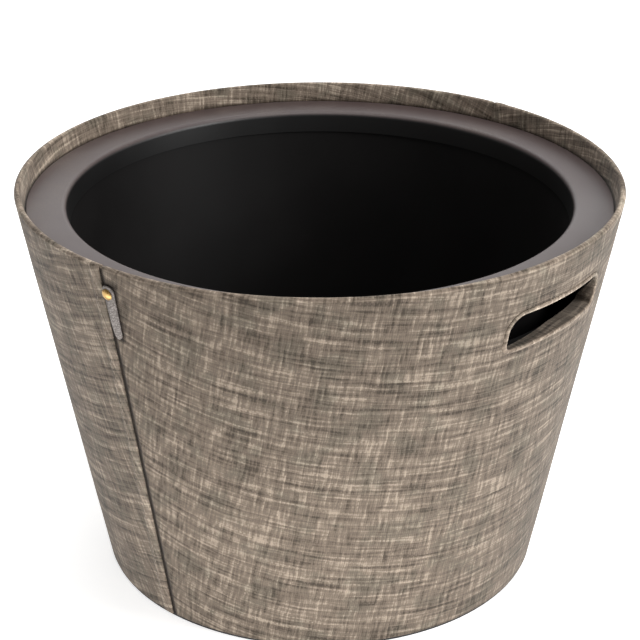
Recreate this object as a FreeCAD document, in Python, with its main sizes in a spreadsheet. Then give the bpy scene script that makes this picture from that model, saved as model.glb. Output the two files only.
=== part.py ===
import FreeCAD, Part
import math
import os
import re

import Sketcher

# A tapered round basket: two curved half walls of stiff sheet under cloth, each with a handle slot, joined by
# a lap seam at the front and one at the back, and a metal insert that lifts out. The origin is on the floor
# at the centre of the base. +Z is up. The front seam is on the -Y side and the handle slots are on the +X and
# -X sides. The left half is the right half turned half a turn about Z. Sizes are in millimetres.

DIMENSIONS = {
    # the basket's outline
    "rim_radius": 250.0,
    "base_radius": 186.5,
    "basket_height": 336.0,
    # layers of the wall, measured level, inward from the outside of the cloth
    "cloth": 1.0,
    "glue": 0.1,
    "core_sheet": 3.0,
    "turn_in_depth": 28.0,
    "core_slit": 0.5,
    "beyond": 10.0,
    # lap seam
    "hem_width": 10.0,
    "hem_proud": 0.9,
    "hem_top_gap": 3.0,
    # handle slots
    "slot_width": 115.0,
    "slot_tall": 28.0,
    "slot_drop": 39.5,
    "slot_top_corner": 13.0,
    "slot_low_corner": 5.0,
    "slot_reveal": 13.0,
    "slot_lip": 0.6,
    "frame_margin": 9.0,
    # strap and rivets behind the core's joint
    "strap_width": 40.0,
    "strap_sheet": 3.0,
    "strap_low": 14.0,
    "strap_top": 305.0,
    "core_rivet_radius": 1.6,
    "core_rivet_head": 3.6,
    "core_rivet_head_tall": 0.9,
    "core_rivet_spread": 12.0,
    # base
    "base_cover_sheet": 2.0,
    "base_cover_inset": 0.4,
    "board_thick": 9.0,
    "pin_radius": 0.8,
    "pin_long": 14.0,
    "pin_sunk": 0.4,
    "screw_circle": 150.0,
    "screw_head_radius": 2.8,
    "screw_head_tall": 1.4,
    "screw_radius": 1.3,
    "screw_long": 8.5,
    "screw_sunk": 0.3,
    # leather tab and its rivet
    "tab_gap": 0.3,
    "tab_thick": 2.0,
    "tab_wide": 14.5,
    "tab_tip_in": 4.0,
    "tab_tip_wide": 8.5,
    "tab_top": 13.5,
    "tab_low": 61.0,
    "tab_corner": 4.0,
    "tab_tip_corner": 3.0,
    "rivet_across": 5.6,
    "rivet_drop": 21.5,
    "rivet_head_radius": 4.7,
    "rivet_head_edge": 0.6,
    "rivet_dome_rise": 1.4,
    "rivet_stem_radius": 1.6,
    "burr_radius": 3.5,
    "burr_thick": 0.8,
    # metal insert
    "insert_sheet": 1.0,
    "flange_radius": 240.7,
    "flange_drop": 16.4,
    "bucket_radius": 207.7,
    "bucket_base_radius": 165.0,
    "lip_bend": 5.0,
    "lip_tall": 18.0,
    "insert_lift_gap": 0.3,
    "floor_skirt": 8.0,
    "floor_bend": 3.0,
    "weld_gap": 0.3,
    # looseness of every bored hole
    "bore_ease": 0.1,
}

CORE_RIVET_ROWS = 5
BOARD_PINS = 12
BASE_SCREWS = 8

doc = FreeCAD.newDocument("log_basket")
sheet = doc.addObject("Spreadsheet::Sheet", "dims")


def fill_sheet():
    """Put every driving dimension in the sheet under its own alias."""
    for row, (alias, value) in enumerate(DIMENSIONS.items(), start=1):
        sheet.set(f"A{row}", alias)
        sheet.set(f"B{row}", str(value))
        sheet.setAlias(f"B{row}", alias)
    doc.recompute()


def named(expression):
    """Spell an expression of bare dimension names as one that reads the sheet."""
    aliases = "|".join(DIMENSIONS)
    return re.sub(rf"\b({aliases})\b", r"dims.\1", expression)


def size(expression):
    """Give the number that an expression of dimension names comes to."""
    return float(sheet.evalExpression(named(expression)))


def bind(thing, path, expression):
    """Bind a property to the sheet."""
    thing.setExpression(path, named(expression))


# Heights and radii that several pieces share, as expressions of the driving dimensions.
CORE_IN = "cloth + glue + core_sheet"
LINED_IN = f"{CORE_IN} + glue"
STRAP_IN = f"{LINED_IN} + strap_sheet"
BURR_FACE = f"glue - ({CORE_IN})"
SLOT_TOP = "basket_height - slot_drop"
SLOT_LOW = f"{SLOT_TOP} - slot_tall"
BOARD_TOP = "base_cover_sheet + board_thick"
FLANGE_TOP = "basket_height - flange_drop"
INSERT_LOW = f"{BOARD_TOP} + insert_lift_gap"
HOLE_GROW = "cloth + glue"
PIN_LEVEL = "base_cover_sheet + board_thick / 2"


def outside(level, inset="0"):
    """Radius of the basket's outside at a level, less an inset."""
    return f"base_radius + (rim_radius - base_radius) * ({level}) / basket_height - ({inset})"


def bucket(level, grow="0"):
    """Radius of the bucket's inner face at a level, plus a growth."""
    taper = f"(bucket_radius - bucket_base_radius) / ({FLANGE_TOP} - lip_bend - ({INSERT_LOW}))"
    return f"bucket_radius - {taper} * ({FLANGE_TOP} - lip_bend - ({level})) + ({grow})"


def start_sketch(body, role, name):
    """Attach a new sketch to one of its body's own origin planes."""
    plane = next(item for item in body.Origin.OriginFeatures if item.Role == role)
    sketch = body.newObject("Sketcher::SketchObject", name)
    sketch.AttachmentSupport = [(plane, "")]
    sketch.MapMode = "FlatFace"
    return sketch


def arc_centre(start, end, radius, turn):
    """Centre of the arc from start to end that turns left (+1) or right (-1)."""
    chord = end - start
    half = chord.Length / 2
    rise = math.sqrt(max(radius * radius - half * half, 0.0))
    left = FreeCAD.Vector(-chord.y, chord.x, 0).normalize()
    return start + chord * 0.5 + left * (rise * turn)


def edge_between(start, end, radius, turn):
    """Geometry of one edge, and which of its ends is at start."""
    if not turn:
        return Part.LineSegment(start, end), 1
    centre = arc_centre(start, end, radius, turn)
    angles = [math.atan2(place.y - centre.y, place.x - centre.x) for place in (start, end)]
    circle = Part.Circle(centre, FreeCAD.Vector(0, 0, 1), radius)
    if turn > 0:
        return Part.ArcOfCircle(circle, angles[0], angles[1]), 1
    return Part.ArcOfCircle(circle, angles[1], angles[0]), 2


def draw_outline(sketch, corners):
    """Draw a closed outline whose corners and arc radii are bound to the sheet.

    Each corner is (across, up), or (across, up, radius, turn) where an arc leads on to the next corner.
    """
    first = sketch.GeometryCount
    spots = [FreeCAD.Vector(size(corner[0]), size(corner[1]), 0) for corner in corners]
    ends = []
    for number, corner in enumerate(corners):
        radius, turn = corner[2:] if len(corner) > 2 else ("0", 0)
        target = spots[(number + 1) % len(spots)]
        edge, start_end = edge_between(spots[number], target, size(radius), turn)
        sketch.addGeometry(edge, False)
        ends.append(start_end)
    for number, corner in enumerate(corners):
        here = first + number
        following = (number + 1) % len(corners)
        sketch.addConstraint(
            Sketcher.Constraint("Coincident", here, 3 - ends[number], first + following, ends[following])
        )
        for kind, expression in (("DistanceX", corner[0]), ("DistanceY", corner[1])):
            rule = sketch.addConstraint(
                Sketcher.Constraint(kind, -1, 1, here, ends[number], size(expression))
            )
            bind(sketch, f"Constraints[{rule}]", expression)
        if len(corner) > 2:
            rule = sketch.addConstraint(Sketcher.Constraint("Radius", here, size(corner[2])))
            bind(sketch, f"Constraints[{rule}]", corner[2])
    doc.recompute()


def new_body(name):
    """Start a PartDesign body."""
    return doc.addObject("PartDesign::Body", name)


def turned(name, corners):
    """A body turned about the Z axis from an outline of (radius, height) corners."""
    body = new_body(name)
    sketch = start_sketch(body, "XZ_Plane", f"{name}_profile")
    draw_outline(sketch, corners)
    turn = body.newObject("PartDesign::Revolution", f"{name}_turn")
    turn.Profile = sketch
    turn.ReferenceAxis = (sketch, ["V_Axis"])
    turn.Angle = 360
    doc.recompute()
    return body


def padded(name, role, outlines, length):
    """A body padded from one outline, or from an outline with another inside it."""
    body = new_body(name)
    sketch = start_sketch(body, role, f"{name}_outline")
    for corners in outlines:
        draw_outline(sketch, corners)
    pad = body.newObject("PartDesign::Pad", f"{name}_pad")
    pad.Profile = sketch
    bind(pad, "Length", length)
    doc.recompute()
    return body


def cut_through_both_sides(body, sketch, name):
    """Pocket a sketch on a middle plane right through the body on both sides."""
    before = body.Shape.Volume
    pocket = body.newObject("PartDesign::Pocket", name)
    pocket.Profile = sketch
    pocket.Type = "ThroughAll"
    pocket.SideType = "Symmetric"
    doc.recompute()
    if body.Shape.Volume >= before:
        raise RuntimeError(f"{name} cuts nothing")


def pair(kind, name, base, tool):
    """A boolean of two document objects."""
    thing = doc.addObject(kind, name)
    thing.Base = base
    thing.Tool = tool
    doc.recompute()
    return thing


def cut(name, base, tool):
    """What is left of base outside tool."""
    return pair("Part::Cut", name, base, tool)


def common(name, base, tool):
    """What base and tool share."""
    return pair("Part::Common", name, base, tool)


def fuse(name, base, tool):
    """Base and tool as one solid."""
    return pair("Part::Fuse", name, base, tool)


def group(name, things):
    """Separate solids kept together under one name."""
    bundle = doc.addObject("Part::Compound", name)
    bundle.Links = things
    doc.recompute()
    return bundle


def wall_cone(name, inset):
    """A full cone of the basket's taper, inset from its outside."""
    cone = doc.addObject("Part::Cone", name)
    bind(cone, "Radius1", outside("0", inset))
    bind(cone, "Radius2", outside("basket_height", inset))
    bind(cone, "Height", "basket_height")
    return cone


def wall_layer(name, outer_inset, inner_inset):
    """The conical layer of the wall between two insets."""
    outer = wall_cone(f"{name}_outer", outer_inset)
    inner = wall_cone(f"{name}_inner", inner_inset)
    return cut(name, outer, inner)


def block(name, low, high):
    """A box between two corners given as expressions."""
    box = doc.addObject("Part::Box", name)
    for side, a, b in zip(("Length", "Width", "Height"), low, high):
        bind(box, side, f"({b}) - ({a})")
    for axis, start in zip("xyz", low):
        bind(box, f"Placement.Base.{axis}", start)
    doc.recompute()
    return box


def rod(name, radius, length, placement):
    """A cylinder whose sizes are bound to the sheet."""
    pin = doc.addObject("Part::Cylinder", name)
    bind(pin, "Radius", radius)
    bind(pin, "Height", length)
    pin.Placement = placement
    doc.recompute()
    return pin


def wall_lean():
    """How far the wall leans outwards, in degrees."""
    return math.degrees(math.atan2(size("rim_radius - base_radius"), size("basket_height")))


def out_of_wall(across, level, out="0"):
    """Placement on the seam side whose local Z points squarely out of the wall, moved along it."""
    radius = size(outside(level))
    spot = FreeCAD.Vector(size(across), -math.sqrt(radius**2 - size(across) ** 2), size(level))
    lay_down = FreeCAD.Rotation(FreeCAD.Vector(1, 0, 0), 90 + wall_lean())
    around = FreeCAD.Rotation(FreeCAD.Vector(0, 0, 1), math.degrees(math.asin(size(across) / radius)))
    on_wall = FreeCAD.Placement(spot, around * lay_down)
    return on_wall * FreeCAD.Placement(FreeCAD.Vector(0, 0, size(out)), FreeCAD.Rotation())


def slot_outline(grow):
    """Outline of a handle slot, grown all round, on the YZ plane."""
    half = f"slot_width / 2 + {grow}"
    top = f"{SLOT_TOP} + {grow}"
    low = f"{SLOT_LOW} - ({grow})"
    round_top = f"slot_top_corner + {grow}"
    round_low = f"slot_low_corner + {grow}"
    return [
        (f"-({half}) + {round_top}", top),
        (f"{half} - ({round_top})", top, round_top, -1),
        (half, f"{top} - ({round_top})"),
        (half, f"{low} + {round_low}", round_low, -1),
        (f"{half} - ({round_low})", low),
        (f"-({half}) + {round_low}", low, round_low, -1),
        (f"-({half})", f"{low} + {round_low}"),
        (f"-({half})", f"{top} - ({round_top})", round_top, -1),
    ]


def cut_slots(body):
    """Cut both handle slots through a turned body."""
    sketch = start_sketch(body, "YZ_Plane", f"{body.Name}_slots")
    draw_outline(sketch, slot_outline(HOLE_GROW))
    cut_through_both_sides(body, sketch, f"{body.Name}_slot_pocket")


def half_turn(side):
    """Placement of a piece drawn on the right or at the front, where it belongs on this side."""
    angle = 180 if side in ("left", "back") else 0
    return FreeCAD.Placement(FreeCAD.Vector(), FreeCAD.Rotation(FreeCAD.Vector(0, 0, 1), angle))


def right_half(name, start):
    """A box round everything on the right, from a level X."""
    return block(
        name,
        (start, "-rim_radius - beyond", "0"),
        ("rim_radius + beyond", "rim_radius + beyond", "basket_height + beyond"),
    )


def make_core(side, tab_tools):
    """One curved half of the stiff sheet, butted against the other half at the seams."""
    name = f"shell_core_{side}"
    top = "basket_height - cloth - glue"
    body = turned(
        f"{name}_blank",
        [
            (outside("base_cover_sheet", "cloth + glue"), "base_cover_sheet"),
            (outside(top, "cloth + glue"), top),
            (outside(top, CORE_IN), top),
            (outside("base_cover_sheet", CORE_IN), "base_cover_sheet"),
        ],
    )
    cut_slots(body)
    half = common(f"{name}_half", body, right_half(f"{name}_side", "core_slit / 2"))
    rods = board_pin_rods(f"{name}_pin", "bore_ease", "core_sheet")
    for seam in ("front", "back"):
        rods += core_rivet_rods(f"{name}_{seam}_rivet", seam)
    return cut(name, half, group(f"{name}_bores", rods + tab_tools))


def core_rivet_spots():
    """Where the core's rivets stand: across the seam and up the wall."""
    low, high = size("strap_low"), size("strap_top")
    for row in range(CORE_RIVET_ROWS):
        level = low + (high - low) * (row + 0.5) / CORE_RIVET_ROWS
        for side in (-1, 1):
            yield f"{side} * core_rivet_spread", str(level)


def core_rivet_rods(name, seam):
    """Bores through the core and the strap for one seam's rivets."""
    long = f"{STRAP_IN} + core_sheet"
    rods = []
    for number, (across, level) in enumerate(core_rivet_spots()):
        place = half_turn(seam) * out_of_wall(across, level, f"-({STRAP_IN}) - core_sheet")
        rods.append(rod(f"{name}_{number}", "core_rivet_radius + bore_ease", long, place))
    return rods


def make_core_strap(seam):
    """The strap behind one butt joint of the core."""
    name = f"core_strap_{seam}"
    strip = block(
        f"{name}_block",
        ("-strap_width / 2", "-rim_radius", "strap_low"),
        ("strap_width / 2", "-base_radius / 2", "strap_top"),
    )
    curved = common(f"{name}_curve", strip, wall_layer(f"{name}_layer", LINED_IN, STRAP_IN))
    strap = cut(name, curved, group(f"{name}_bores", core_rivet_rods(f"{name}_bore", "front")))
    strap.Placement = half_turn(seam)
    return strap


def make_core_rivets(seam):
    """One seam's rivets, each headed inside the strap and flush under the cloth."""
    end = f"{STRAP_IN} - cloth - 4 * glue"
    rivets = []
    for number, (across, level) in enumerate(core_rivet_spots()):
        body = turned(
            f"core_rivet_{seam}_{number}",
            [
                ("0", "-core_rivet_head_tall"),
                ("core_rivet_head", "-core_rivet_head_tall"),
                ("core_rivet_head", "0"),
                ("core_rivet_radius", "0"),
                ("core_rivet_radius", end),
                ("0", end),
            ],
        )
        body.Placement = half_turn(seam) * out_of_wall(across, level, f"-({STRAP_IN})")
        rivets.append(body)
    return group(f"core_rivets_{seam}", rivets)


def board_pin_rods(name, grow="0", extra="0"):
    """The pins through the core into the board's edge, or their wider and longer bores."""
    lay_down = FreeCAD.Rotation(FreeCAD.Vector(0, 1, 0), 90)
    start = size(f"{outside(PIN_LEVEL, 'cloth + glue + pin_sunk')} - pin_long")
    pins = []
    for number in range(BOARD_PINS):
        turn = FreeCAD.Rotation(FreeCAD.Vector(0, 0, 1), 360 * (number + 0.5) / BOARD_PINS)
        spot = turn.multVec(FreeCAD.Vector(start, 0, size(PIN_LEVEL)))
        place = FreeCAD.Placement(spot, turn * lay_down)
        pins.append(rod(f"{name}_{number}", f"pin_radius + {grow}", f"pin_long + {extra}", place))
    return pins


def make_cover(side, tab_tools):
    """One half of the cloth: up the outside and turned in over the rim, hemmed where it laps the other."""
    name = f"woven_panel_{side}"
    inner_face = f"{LINED_IN} + cloth"
    turn_low = "basket_height - turn_in_depth"
    half_wall = f"({inner_face}) / 2"
    shoulder = f"basket_height - {half_wall}"
    under_rim = "basket_height - cloth"
    body = turned(
        f"{name}_blank",
        [
            (outside("base_cover_sheet"), "base_cover_sheet"),
            (outside(shoulder), shoulder, half_wall, 1),
            (outside("basket_height", half_wall), "basket_height", half_wall, 1),
            (outside(shoulder, inner_face), shoulder),
            (outside(turn_low, inner_face), turn_low),
            (outside(turn_low, LINED_IN), turn_low),
            (outside(under_rim, LINED_IN), under_rim),
            (outside(under_rim, "cloth"), under_rim),
            (outside("base_cover_sheet", "cloth"), "base_cover_sheet"),
        ],
    )
    cut_slots(body)
    panel = common(f"{name}_half", body, right_half(f"{name}_side", "0"))
    strip = block(
        f"{name}_hem_block",
        ("0", "base_radius / 2", "base_cover_sheet"),
        ("hem_width", "rim_radius + beyond", "basket_height - hem_top_gap"),
    )
    hem = common(f"{name}_hem", strip, wall_layer(f"{name}_hem_layer", "-hem_proud", "cloth / 2"))
    lapped = fuse(f"{name}_hemmed", panel, hem)
    if tab_tools:
        return cut(name, lapped, group(f"{name}_bores", tab_tools))
    lapped.Placement = half_turn(side)
    return lapped


def make_slot_lining(side):
    """The cloth sleeve in one handle slot, with its lip outside."""
    name = f"slot_lining_{side}"
    outlines = [slot_outline("cloth"), slot_outline("0")]
    sleeve = padded(f"{name}_sleeve", "YZ_Plane", outlines, "rim_radius + beyond")
    lining = common(name, sleeve, wall_layer(f"{name}_layer", "-slot_lip", "slot_reveal"))
    lining.Placement = half_turn(side)
    return lining


def make_handle_frame(side):
    """The grip frame behind one handle slot."""
    name = f"handle_frame_{side}"
    outlines = [slot_outline(f"{HOLE_GROW} + frame_margin"), slot_outline(HOLE_GROW)]
    ring = padded(f"{name}_ring", "YZ_Plane", outlines, "rim_radius")
    frame = common(name, ring, wall_layer(f"{name}_layer", LINED_IN, "slot_reveal"))
    frame.Placement = half_turn(side)
    return frame


def make_leather_tab(rivet_bore):
    """The leather tab beside the lap seam, narrower at its tip."""
    top = "basket_height - tab_top"
    low = "basket_height - tab_low"
    right = "tab_gap + tab_wide"
    tip_right = "tab_gap + tab_tip_in + tab_tip_wide"
    strip = padded(
        "tab_blank",
        "XZ_Plane",
        [
            [
                ("tab_gap", f"{top} - tab_corner", "tab_corner", -1),
                ("tab_gap + tab_corner", top),
                (f"{right} - tab_corner", top, "tab_corner", -1),
                (right, f"{top} - tab_corner"),
                (tip_right, f"{low} + tab_tip_corner", "tab_tip_corner", -1),
                (f"{tip_right} - tab_tip_corner", low),
                ("tab_gap + tab_tip_in + tab_tip_corner", low, "tab_tip_corner", -1),
                ("tab_gap + tab_tip_in", f"{low} + tab_tip_corner"),
            ]
        ],
        "rim_radius + beyond",
    )
    layer = wall_layer("tab_layer", "-tab_thick - glue", "-glue")
    return cut("leather_tab", common("tab_curve", strip, layer), rivet_bore)


def make_tab_rivet():
    """The brass rivet: a domed head on a stem that ends in the burr."""
    seat = "tab_thick + 2 * glue"
    edge = f"{seat} + rivet_head_edge"
    dome = "(rivet_head_radius ^ 2 + rivet_dome_rise ^ 2) / (2 * rivet_dome_rise)"
    body = turned(
        "tab_rivet",
        [
            ("0", BURR_FACE),
            ("rivet_stem_radius", BURR_FACE),
            ("rivet_stem_radius", seat),
            ("rivet_head_radius", seat),
            ("rivet_head_radius", edge, dome, 1),
            ("0", f"{edge} + rivet_dome_rise"),
        ],
    )
    body.Placement = tab_rivet_place()
    return body


def tab_rivet_place(out="0"):
    """Placement of the tab's rivet on the cloth, moved out of the wall."""
    return out_of_wall("rivet_across", "basket_height - rivet_drop", out)


def make_tab_rivet_burr():
    """The washer that the tab's rivet is set on, sunk in the core's inner face."""
    top = f"{BURR_FACE} + burr_thick"
    body = turned(
        "tab_rivet_burr",
        [
            ("rivet_stem_radius + bore_ease", BURR_FACE),
            ("burr_radius", BURR_FACE),
            ("burr_radius", top),
            ("rivet_stem_radius + bore_ease", top),
        ],
    )
    body.Placement = tab_rivet_place()
    return body


def disc(name, radius, low, high):
    """A flat round plate between two levels."""
    return turned(name, [("0", low), (radius, low), (radius, high), ("0", high)])


def drill_circle(body, radius):
    """Drill the base screws' holes through a plate, one hole patterned about the axis."""
    before = body.Shape.Volume
    sketch = start_sketch(body, "XY_Plane", f"{body.Name}_hole")
    sketch.addGeometry(
        Part.Circle(FreeCAD.Vector(size("screw_circle"), 0, 0), FreeCAD.Vector(0, 0, 1), size(radius)), False
    )
    sketch.addConstraint(Sketcher.Constraint("PointOnObject", 0, 3, -1))
    rule = sketch.addConstraint(Sketcher.Constraint("DistanceX", -1, 1, 0, 3, size("screw_circle")))
    bind(sketch, f"Constraints[{rule}]", "screw_circle")
    rule = sketch.addConstraint(Sketcher.Constraint("Radius", 0, size(radius)))
    bind(sketch, f"Constraints[{rule}]", radius)
    pocket = body.newObject("PartDesign::Pocket", f"{body.Name}_drill")
    pocket.Profile = sketch
    pocket.Type = "ThroughAll"
    pocket.SideType = "Symmetric"
    doc.recompute()
    pattern = body.newObject("PartDesign::PolarPattern", f"{body.Name}_pattern")
    pattern.Originals = [pocket]
    pattern.Axis = (sketch, ["N_Axis"])
    pattern.Angle = 360
    pattern.Occurrences = BASE_SCREWS
    body.Tip = pattern
    doc.recompute()
    if body.Shape.Volume >= before:
        raise RuntimeError(f"the holes in {body.Name} cut nothing")


def screw_places():
    """Where the base screws stand."""
    for number in range(BASE_SCREWS):
        turn = FreeCAD.Rotation(FreeCAD.Vector(0, 0, 1), 360 * number / BASE_SCREWS)
        yield FreeCAD.Placement(turn.multVec(FreeCAD.Vector(size("screw_circle"), 0, 0)), turn)


def make_base_board():
    """The board that closes the bottom of the core."""
    board = disc("board", outside("base_cover_sheet", LINED_IN), "base_cover_sheet", BOARD_TOP)
    drill_circle(board, "screw_radius + bore_ease")
    bores = board_pin_rods("board_bore", "bore_ease", "core_sheet")
    return cut("base_board", board, group("board_bores", bores))


def make_base_cover():
    """The thin black sheet under the board, countersunk for its screws."""
    plate = disc("base_plate", outside("0", "base_cover_inset"), "0", "base_cover_sheet")
    drill_circle(plate, "screw_radius + bore_ease")
    sinks = []
    for number, place in enumerate(screw_places()):
        sink = doc.addObject("Part::Cone", f"sink_{number}")
        bind(sink, "Radius1", "screw_head_radius + bore_ease")
        bind(sink, "Radius2", "screw_radius + bore_ease")
        bind(sink, "Height", "screw_sunk + screw_head_tall")
        sink.Placement = place
        sinks.append(sink)
    doc.recompute()
    return cut("base_cover", plate, group("sinks", sinks))


def make_base_screws():
    """Eight countersunk screws up through the base cover into the board."""
    screws = []
    for number, place in enumerate(screw_places()):
        screw = turned(
            f"screw_{number}",
            [
                ("0", "screw_sunk"),
                ("screw_head_radius - screw_sunk", "screw_sunk"),
                ("screw_radius", "screw_sunk + screw_head_tall"),
                ("screw_radius", "screw_long - screw_radius"),
                ("0", "screw_long"),
            ],
        )
        screw.Placement = place
        screws.append(screw)
    return group("base_screws", screws)


def make_insert_flange():
    """The insert's flat ring, its inner lip rolled down into the bucket."""
    bend_low = f"{FLANGE_TOP} - lip_bend"
    lip_low = f"{FLANGE_TOP} - lip_tall"
    return turned(
        "insert_flange",
        [
            ("flange_radius", f"{FLANGE_TOP} - insert_sheet"),
            ("flange_radius", FLANGE_TOP),
            ("bucket_radius + lip_bend", FLANGE_TOP, "lip_bend", 1),
            ("bucket_radius", bend_low),
            (bucket(lip_low), lip_low),
            (bucket(lip_low, "insert_sheet"), lip_low),
            ("bucket_radius + insert_sheet", bend_low, "lip_bend - insert_sheet", -1),
            ("bucket_radius + lip_bend", f"{FLANGE_TOP} - insert_sheet"),
        ],
    )


def make_insert_wall():
    """The bucket's tapered wall, around the flange's lip and the floor's turned-up edge."""
    top = f"{FLANGE_TOP} - lip_bend - weld_gap"
    inner = "insert_sheet + weld_gap"
    outer = "2 * insert_sheet + weld_gap"
    return turned(
        "insert_wall",
        [
            (bucket(INSERT_LOW, inner), INSERT_LOW),
            (bucket(INSERT_LOW, outer), INSERT_LOW),
            (bucket(top, outer), top),
            (bucket(top, inner), top),
        ],
    )


def make_insert_floor():
    """The bucket's raised floor, with its edge turned down inside the wall."""
    top = f"{INSERT_LOW} + floor_skirt"
    bend_low = f"{top} - floor_bend"
    bend_start = f"{bucket(top, 'insert_sheet')} - floor_bend"
    return turned(
        "insert_floor",
        [
            ("0", f"{top} - insert_sheet"),
            (bend_start, f"{top} - insert_sheet", "floor_bend - insert_sheet", -1),
            (bucket(bend_low), bend_low),
            (bucket(INSERT_LOW), INSERT_LOW),
            (bucket(INSERT_LOW, "insert_sheet"), INSERT_LOW),
            (bucket(bend_low, "insert_sheet"), bend_low, "floor_bend", 1),
            (bend_start, top),
            ("0", top),
        ],
    )


def rivet_tools():
    """The bore for the tab's rivet and the pocket for its burr."""
    bore = rod(
        "tab_bore",
        "rivet_stem_radius + bore_ease",
        f"{CORE_IN} + 3 * tab_thick",
        tab_rivet_place(BURR_FACE),
    )
    deep = "3 * core_sheet"
    pocket = rod(
        "burr_pocket",
        "burr_radius + bore_ease",
        f"{deep} + {BURR_FACE} + burr_thick + bore_ease",
        tab_rivet_place(f"-({deep})"),
    )
    return bore, pocket


def make_basket():
    """Every piece of the basket itself, by the name of its node."""
    bore, pocket = rivet_tools()
    pieces = {
        "leather_tab": make_leather_tab(bore),
        "tab_rivet": make_tab_rivet(),
        "tab_rivet_burr": make_tab_rivet_burr(),
        "base_board": make_base_board(),
        "board_pins": group("board_pins", board_pin_rods("pin")),
        "base_cover": make_base_cover(),
        "base_screws": make_base_screws(),
    }
    for seam in ("front", "back"):
        pieces[f"core_strap_{seam}"] = make_core_strap(seam)
        pieces[f"core_rivets_{seam}"] = make_core_rivets(seam)
    for side, core_tools, cloth_tools in (("right", [bore, pocket], [bore]), ("left", [], [])):
        core = make_core(side, core_tools)
        core.Placement = half_turn(side)
        pieces[f"shell_core_{side}"] = core
        pieces[f"woven_panel_{side}"] = make_cover(side, cloth_tools)
        pieces[f"slot_lining_{side}"] = make_slot_lining(side)
        pieces[f"handle_frame_{side}"] = make_handle_frame(side)
    return pieces


def make_insert():
    """Every piece of the lift-out insert, by the name of its node."""
    return {
        "insert_flange": make_insert_flange(),
        "insert_wall": make_insert_wall(),
        "insert_floor": make_insert_floor(),
    }


def check_document():
    """Stop if any object of the document failed to recompute."""
    failed = [item.Name for item in doc.Objects if {"Invalid", "Error"} & set(item.State)]
    if failed:
        raise RuntimeError(f"these objects failed: {failed}")


def export(pieces):
    """Write each piece to its own STEP file."""
    os.makedirs("parts", exist_ok=True)
    for node, piece in pieces.items():
        piece.Label = node
        shape = piece.Shape
        if shape.isNull() or not shape.isValid() or not shape.Solids:
            raise RuntimeError(f"{node} is not a valid solid")
        shape.exportStep(f"parts/{node}.step")
        print(f"{node}: {len(shape.Solids)} solid(s), {shape.Volume:.0f} mm3")


fill_sheet()
all_pieces = {**make_basket(), **make_insert()}
doc.recompute()
check_document()
export(all_pieces)
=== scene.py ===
"""A tapered log basket covered in heathered cloth, with a lift-out metal insert, in a plain studio.

Everything is in metres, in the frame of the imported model: z = 0 is the floor, the front seam faces -Y
and the two hand slots face +X and -X. Azimuths turn from +X towards +Y, as seen from above.
"""
import logging
import math
from dataclasses import dataclass, replace
from enum import Enum
from functools import cache
from typing import Any, Iterable, Sequence

import bmesh
import bpy
from mathutils import Matrix, Vector, noise


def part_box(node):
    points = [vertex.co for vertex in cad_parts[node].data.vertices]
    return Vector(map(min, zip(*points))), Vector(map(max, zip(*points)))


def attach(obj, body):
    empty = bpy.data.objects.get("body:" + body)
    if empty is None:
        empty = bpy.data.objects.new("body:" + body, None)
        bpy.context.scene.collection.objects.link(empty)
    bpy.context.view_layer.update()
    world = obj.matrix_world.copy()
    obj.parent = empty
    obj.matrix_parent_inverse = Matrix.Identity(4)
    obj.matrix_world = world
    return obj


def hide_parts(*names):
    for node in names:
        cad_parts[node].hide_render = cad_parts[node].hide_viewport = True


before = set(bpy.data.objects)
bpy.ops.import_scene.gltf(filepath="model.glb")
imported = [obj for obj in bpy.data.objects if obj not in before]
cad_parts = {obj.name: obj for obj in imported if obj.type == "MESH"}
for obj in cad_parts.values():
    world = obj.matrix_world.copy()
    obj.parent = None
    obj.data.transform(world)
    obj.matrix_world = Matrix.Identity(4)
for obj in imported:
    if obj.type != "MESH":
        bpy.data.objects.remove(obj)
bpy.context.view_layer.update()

LOG = logging.getLogger("log_basket")
MM = 0.001
QUARTER = math.pi / 2
CLOTH_MAP = "flat_cloth"
SHADE_MARK = "painted_shade"
HIGHLIGHT_MARK = "rubbed"
MERGE = 0.002 * MM
FLOAT, COLOUR, VECTOR = "NodeSocketFloat", "NodeSocketColor", "NodeSocketVector"
GEOMETRY, MATERIAL, WHOLE = "NodeSocketGeometry", "NodeSocketMaterial", "NodeSocketInt"

Colour = tuple[float, float, float, float]
Pair = tuple[float, float]
Edge = tuple[Pair, Pair]
Cell = tuple[int, int, int, int]
Inputs = dict[str | int, Any]
Sockets = dict[str, tuple[str, Any]]
Tree = bpy.types.NodeTree
Node = bpy.types.Node
Socket = bpy.types.NodeSocket
Mesh = bpy.types.Mesh
Piece = bpy.types.Object


class Body(Enum):
    """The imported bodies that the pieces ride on."""

    BASKET = "basket"
    INSERT = "insert"


class Place(Enum):
    """A named place on the basket, with the azimuth that it faces."""

    @property
    def word(self) -> str:
        """The place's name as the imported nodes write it."""
        return self.name.lower()


class Side(Place):
    """The two halves of the basket, each named for the hand slot at its middle."""

    RIGHT = 0.0
    LEFT = math.pi


class Seam(Place):
    """The two upright seams."""

    FRONT = -QUARTER
    BACK = QUARTER


def shade(red: float, green: float, blue: float) -> Colour:
    """Turns a colour-card value into linear light.

    Args:
        red: Red from 0 to 255.
        green: Green from 0 to 255.
        blue: Blue from 0 to 255.

    Returns:
        The linear colour with full alpha.
    """
    card = [part / 255.0 for part in (red, green, blue)]
    linear = [part / 12.92 if part <= 0.04045 else ((part + 0.055) / 1.055) ** 2.4 for part in card]
    return (linear[0], linear[1], linear[2], 1.0)


def clamp(value: float) -> float:
    """The value, kept between 0 and 1."""
    return min(1.0, max(0.0, value))


# ---------------------------------------------------------------------------------------------
# Node trees
# ---------------------------------------------------------------------------------------------


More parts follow.
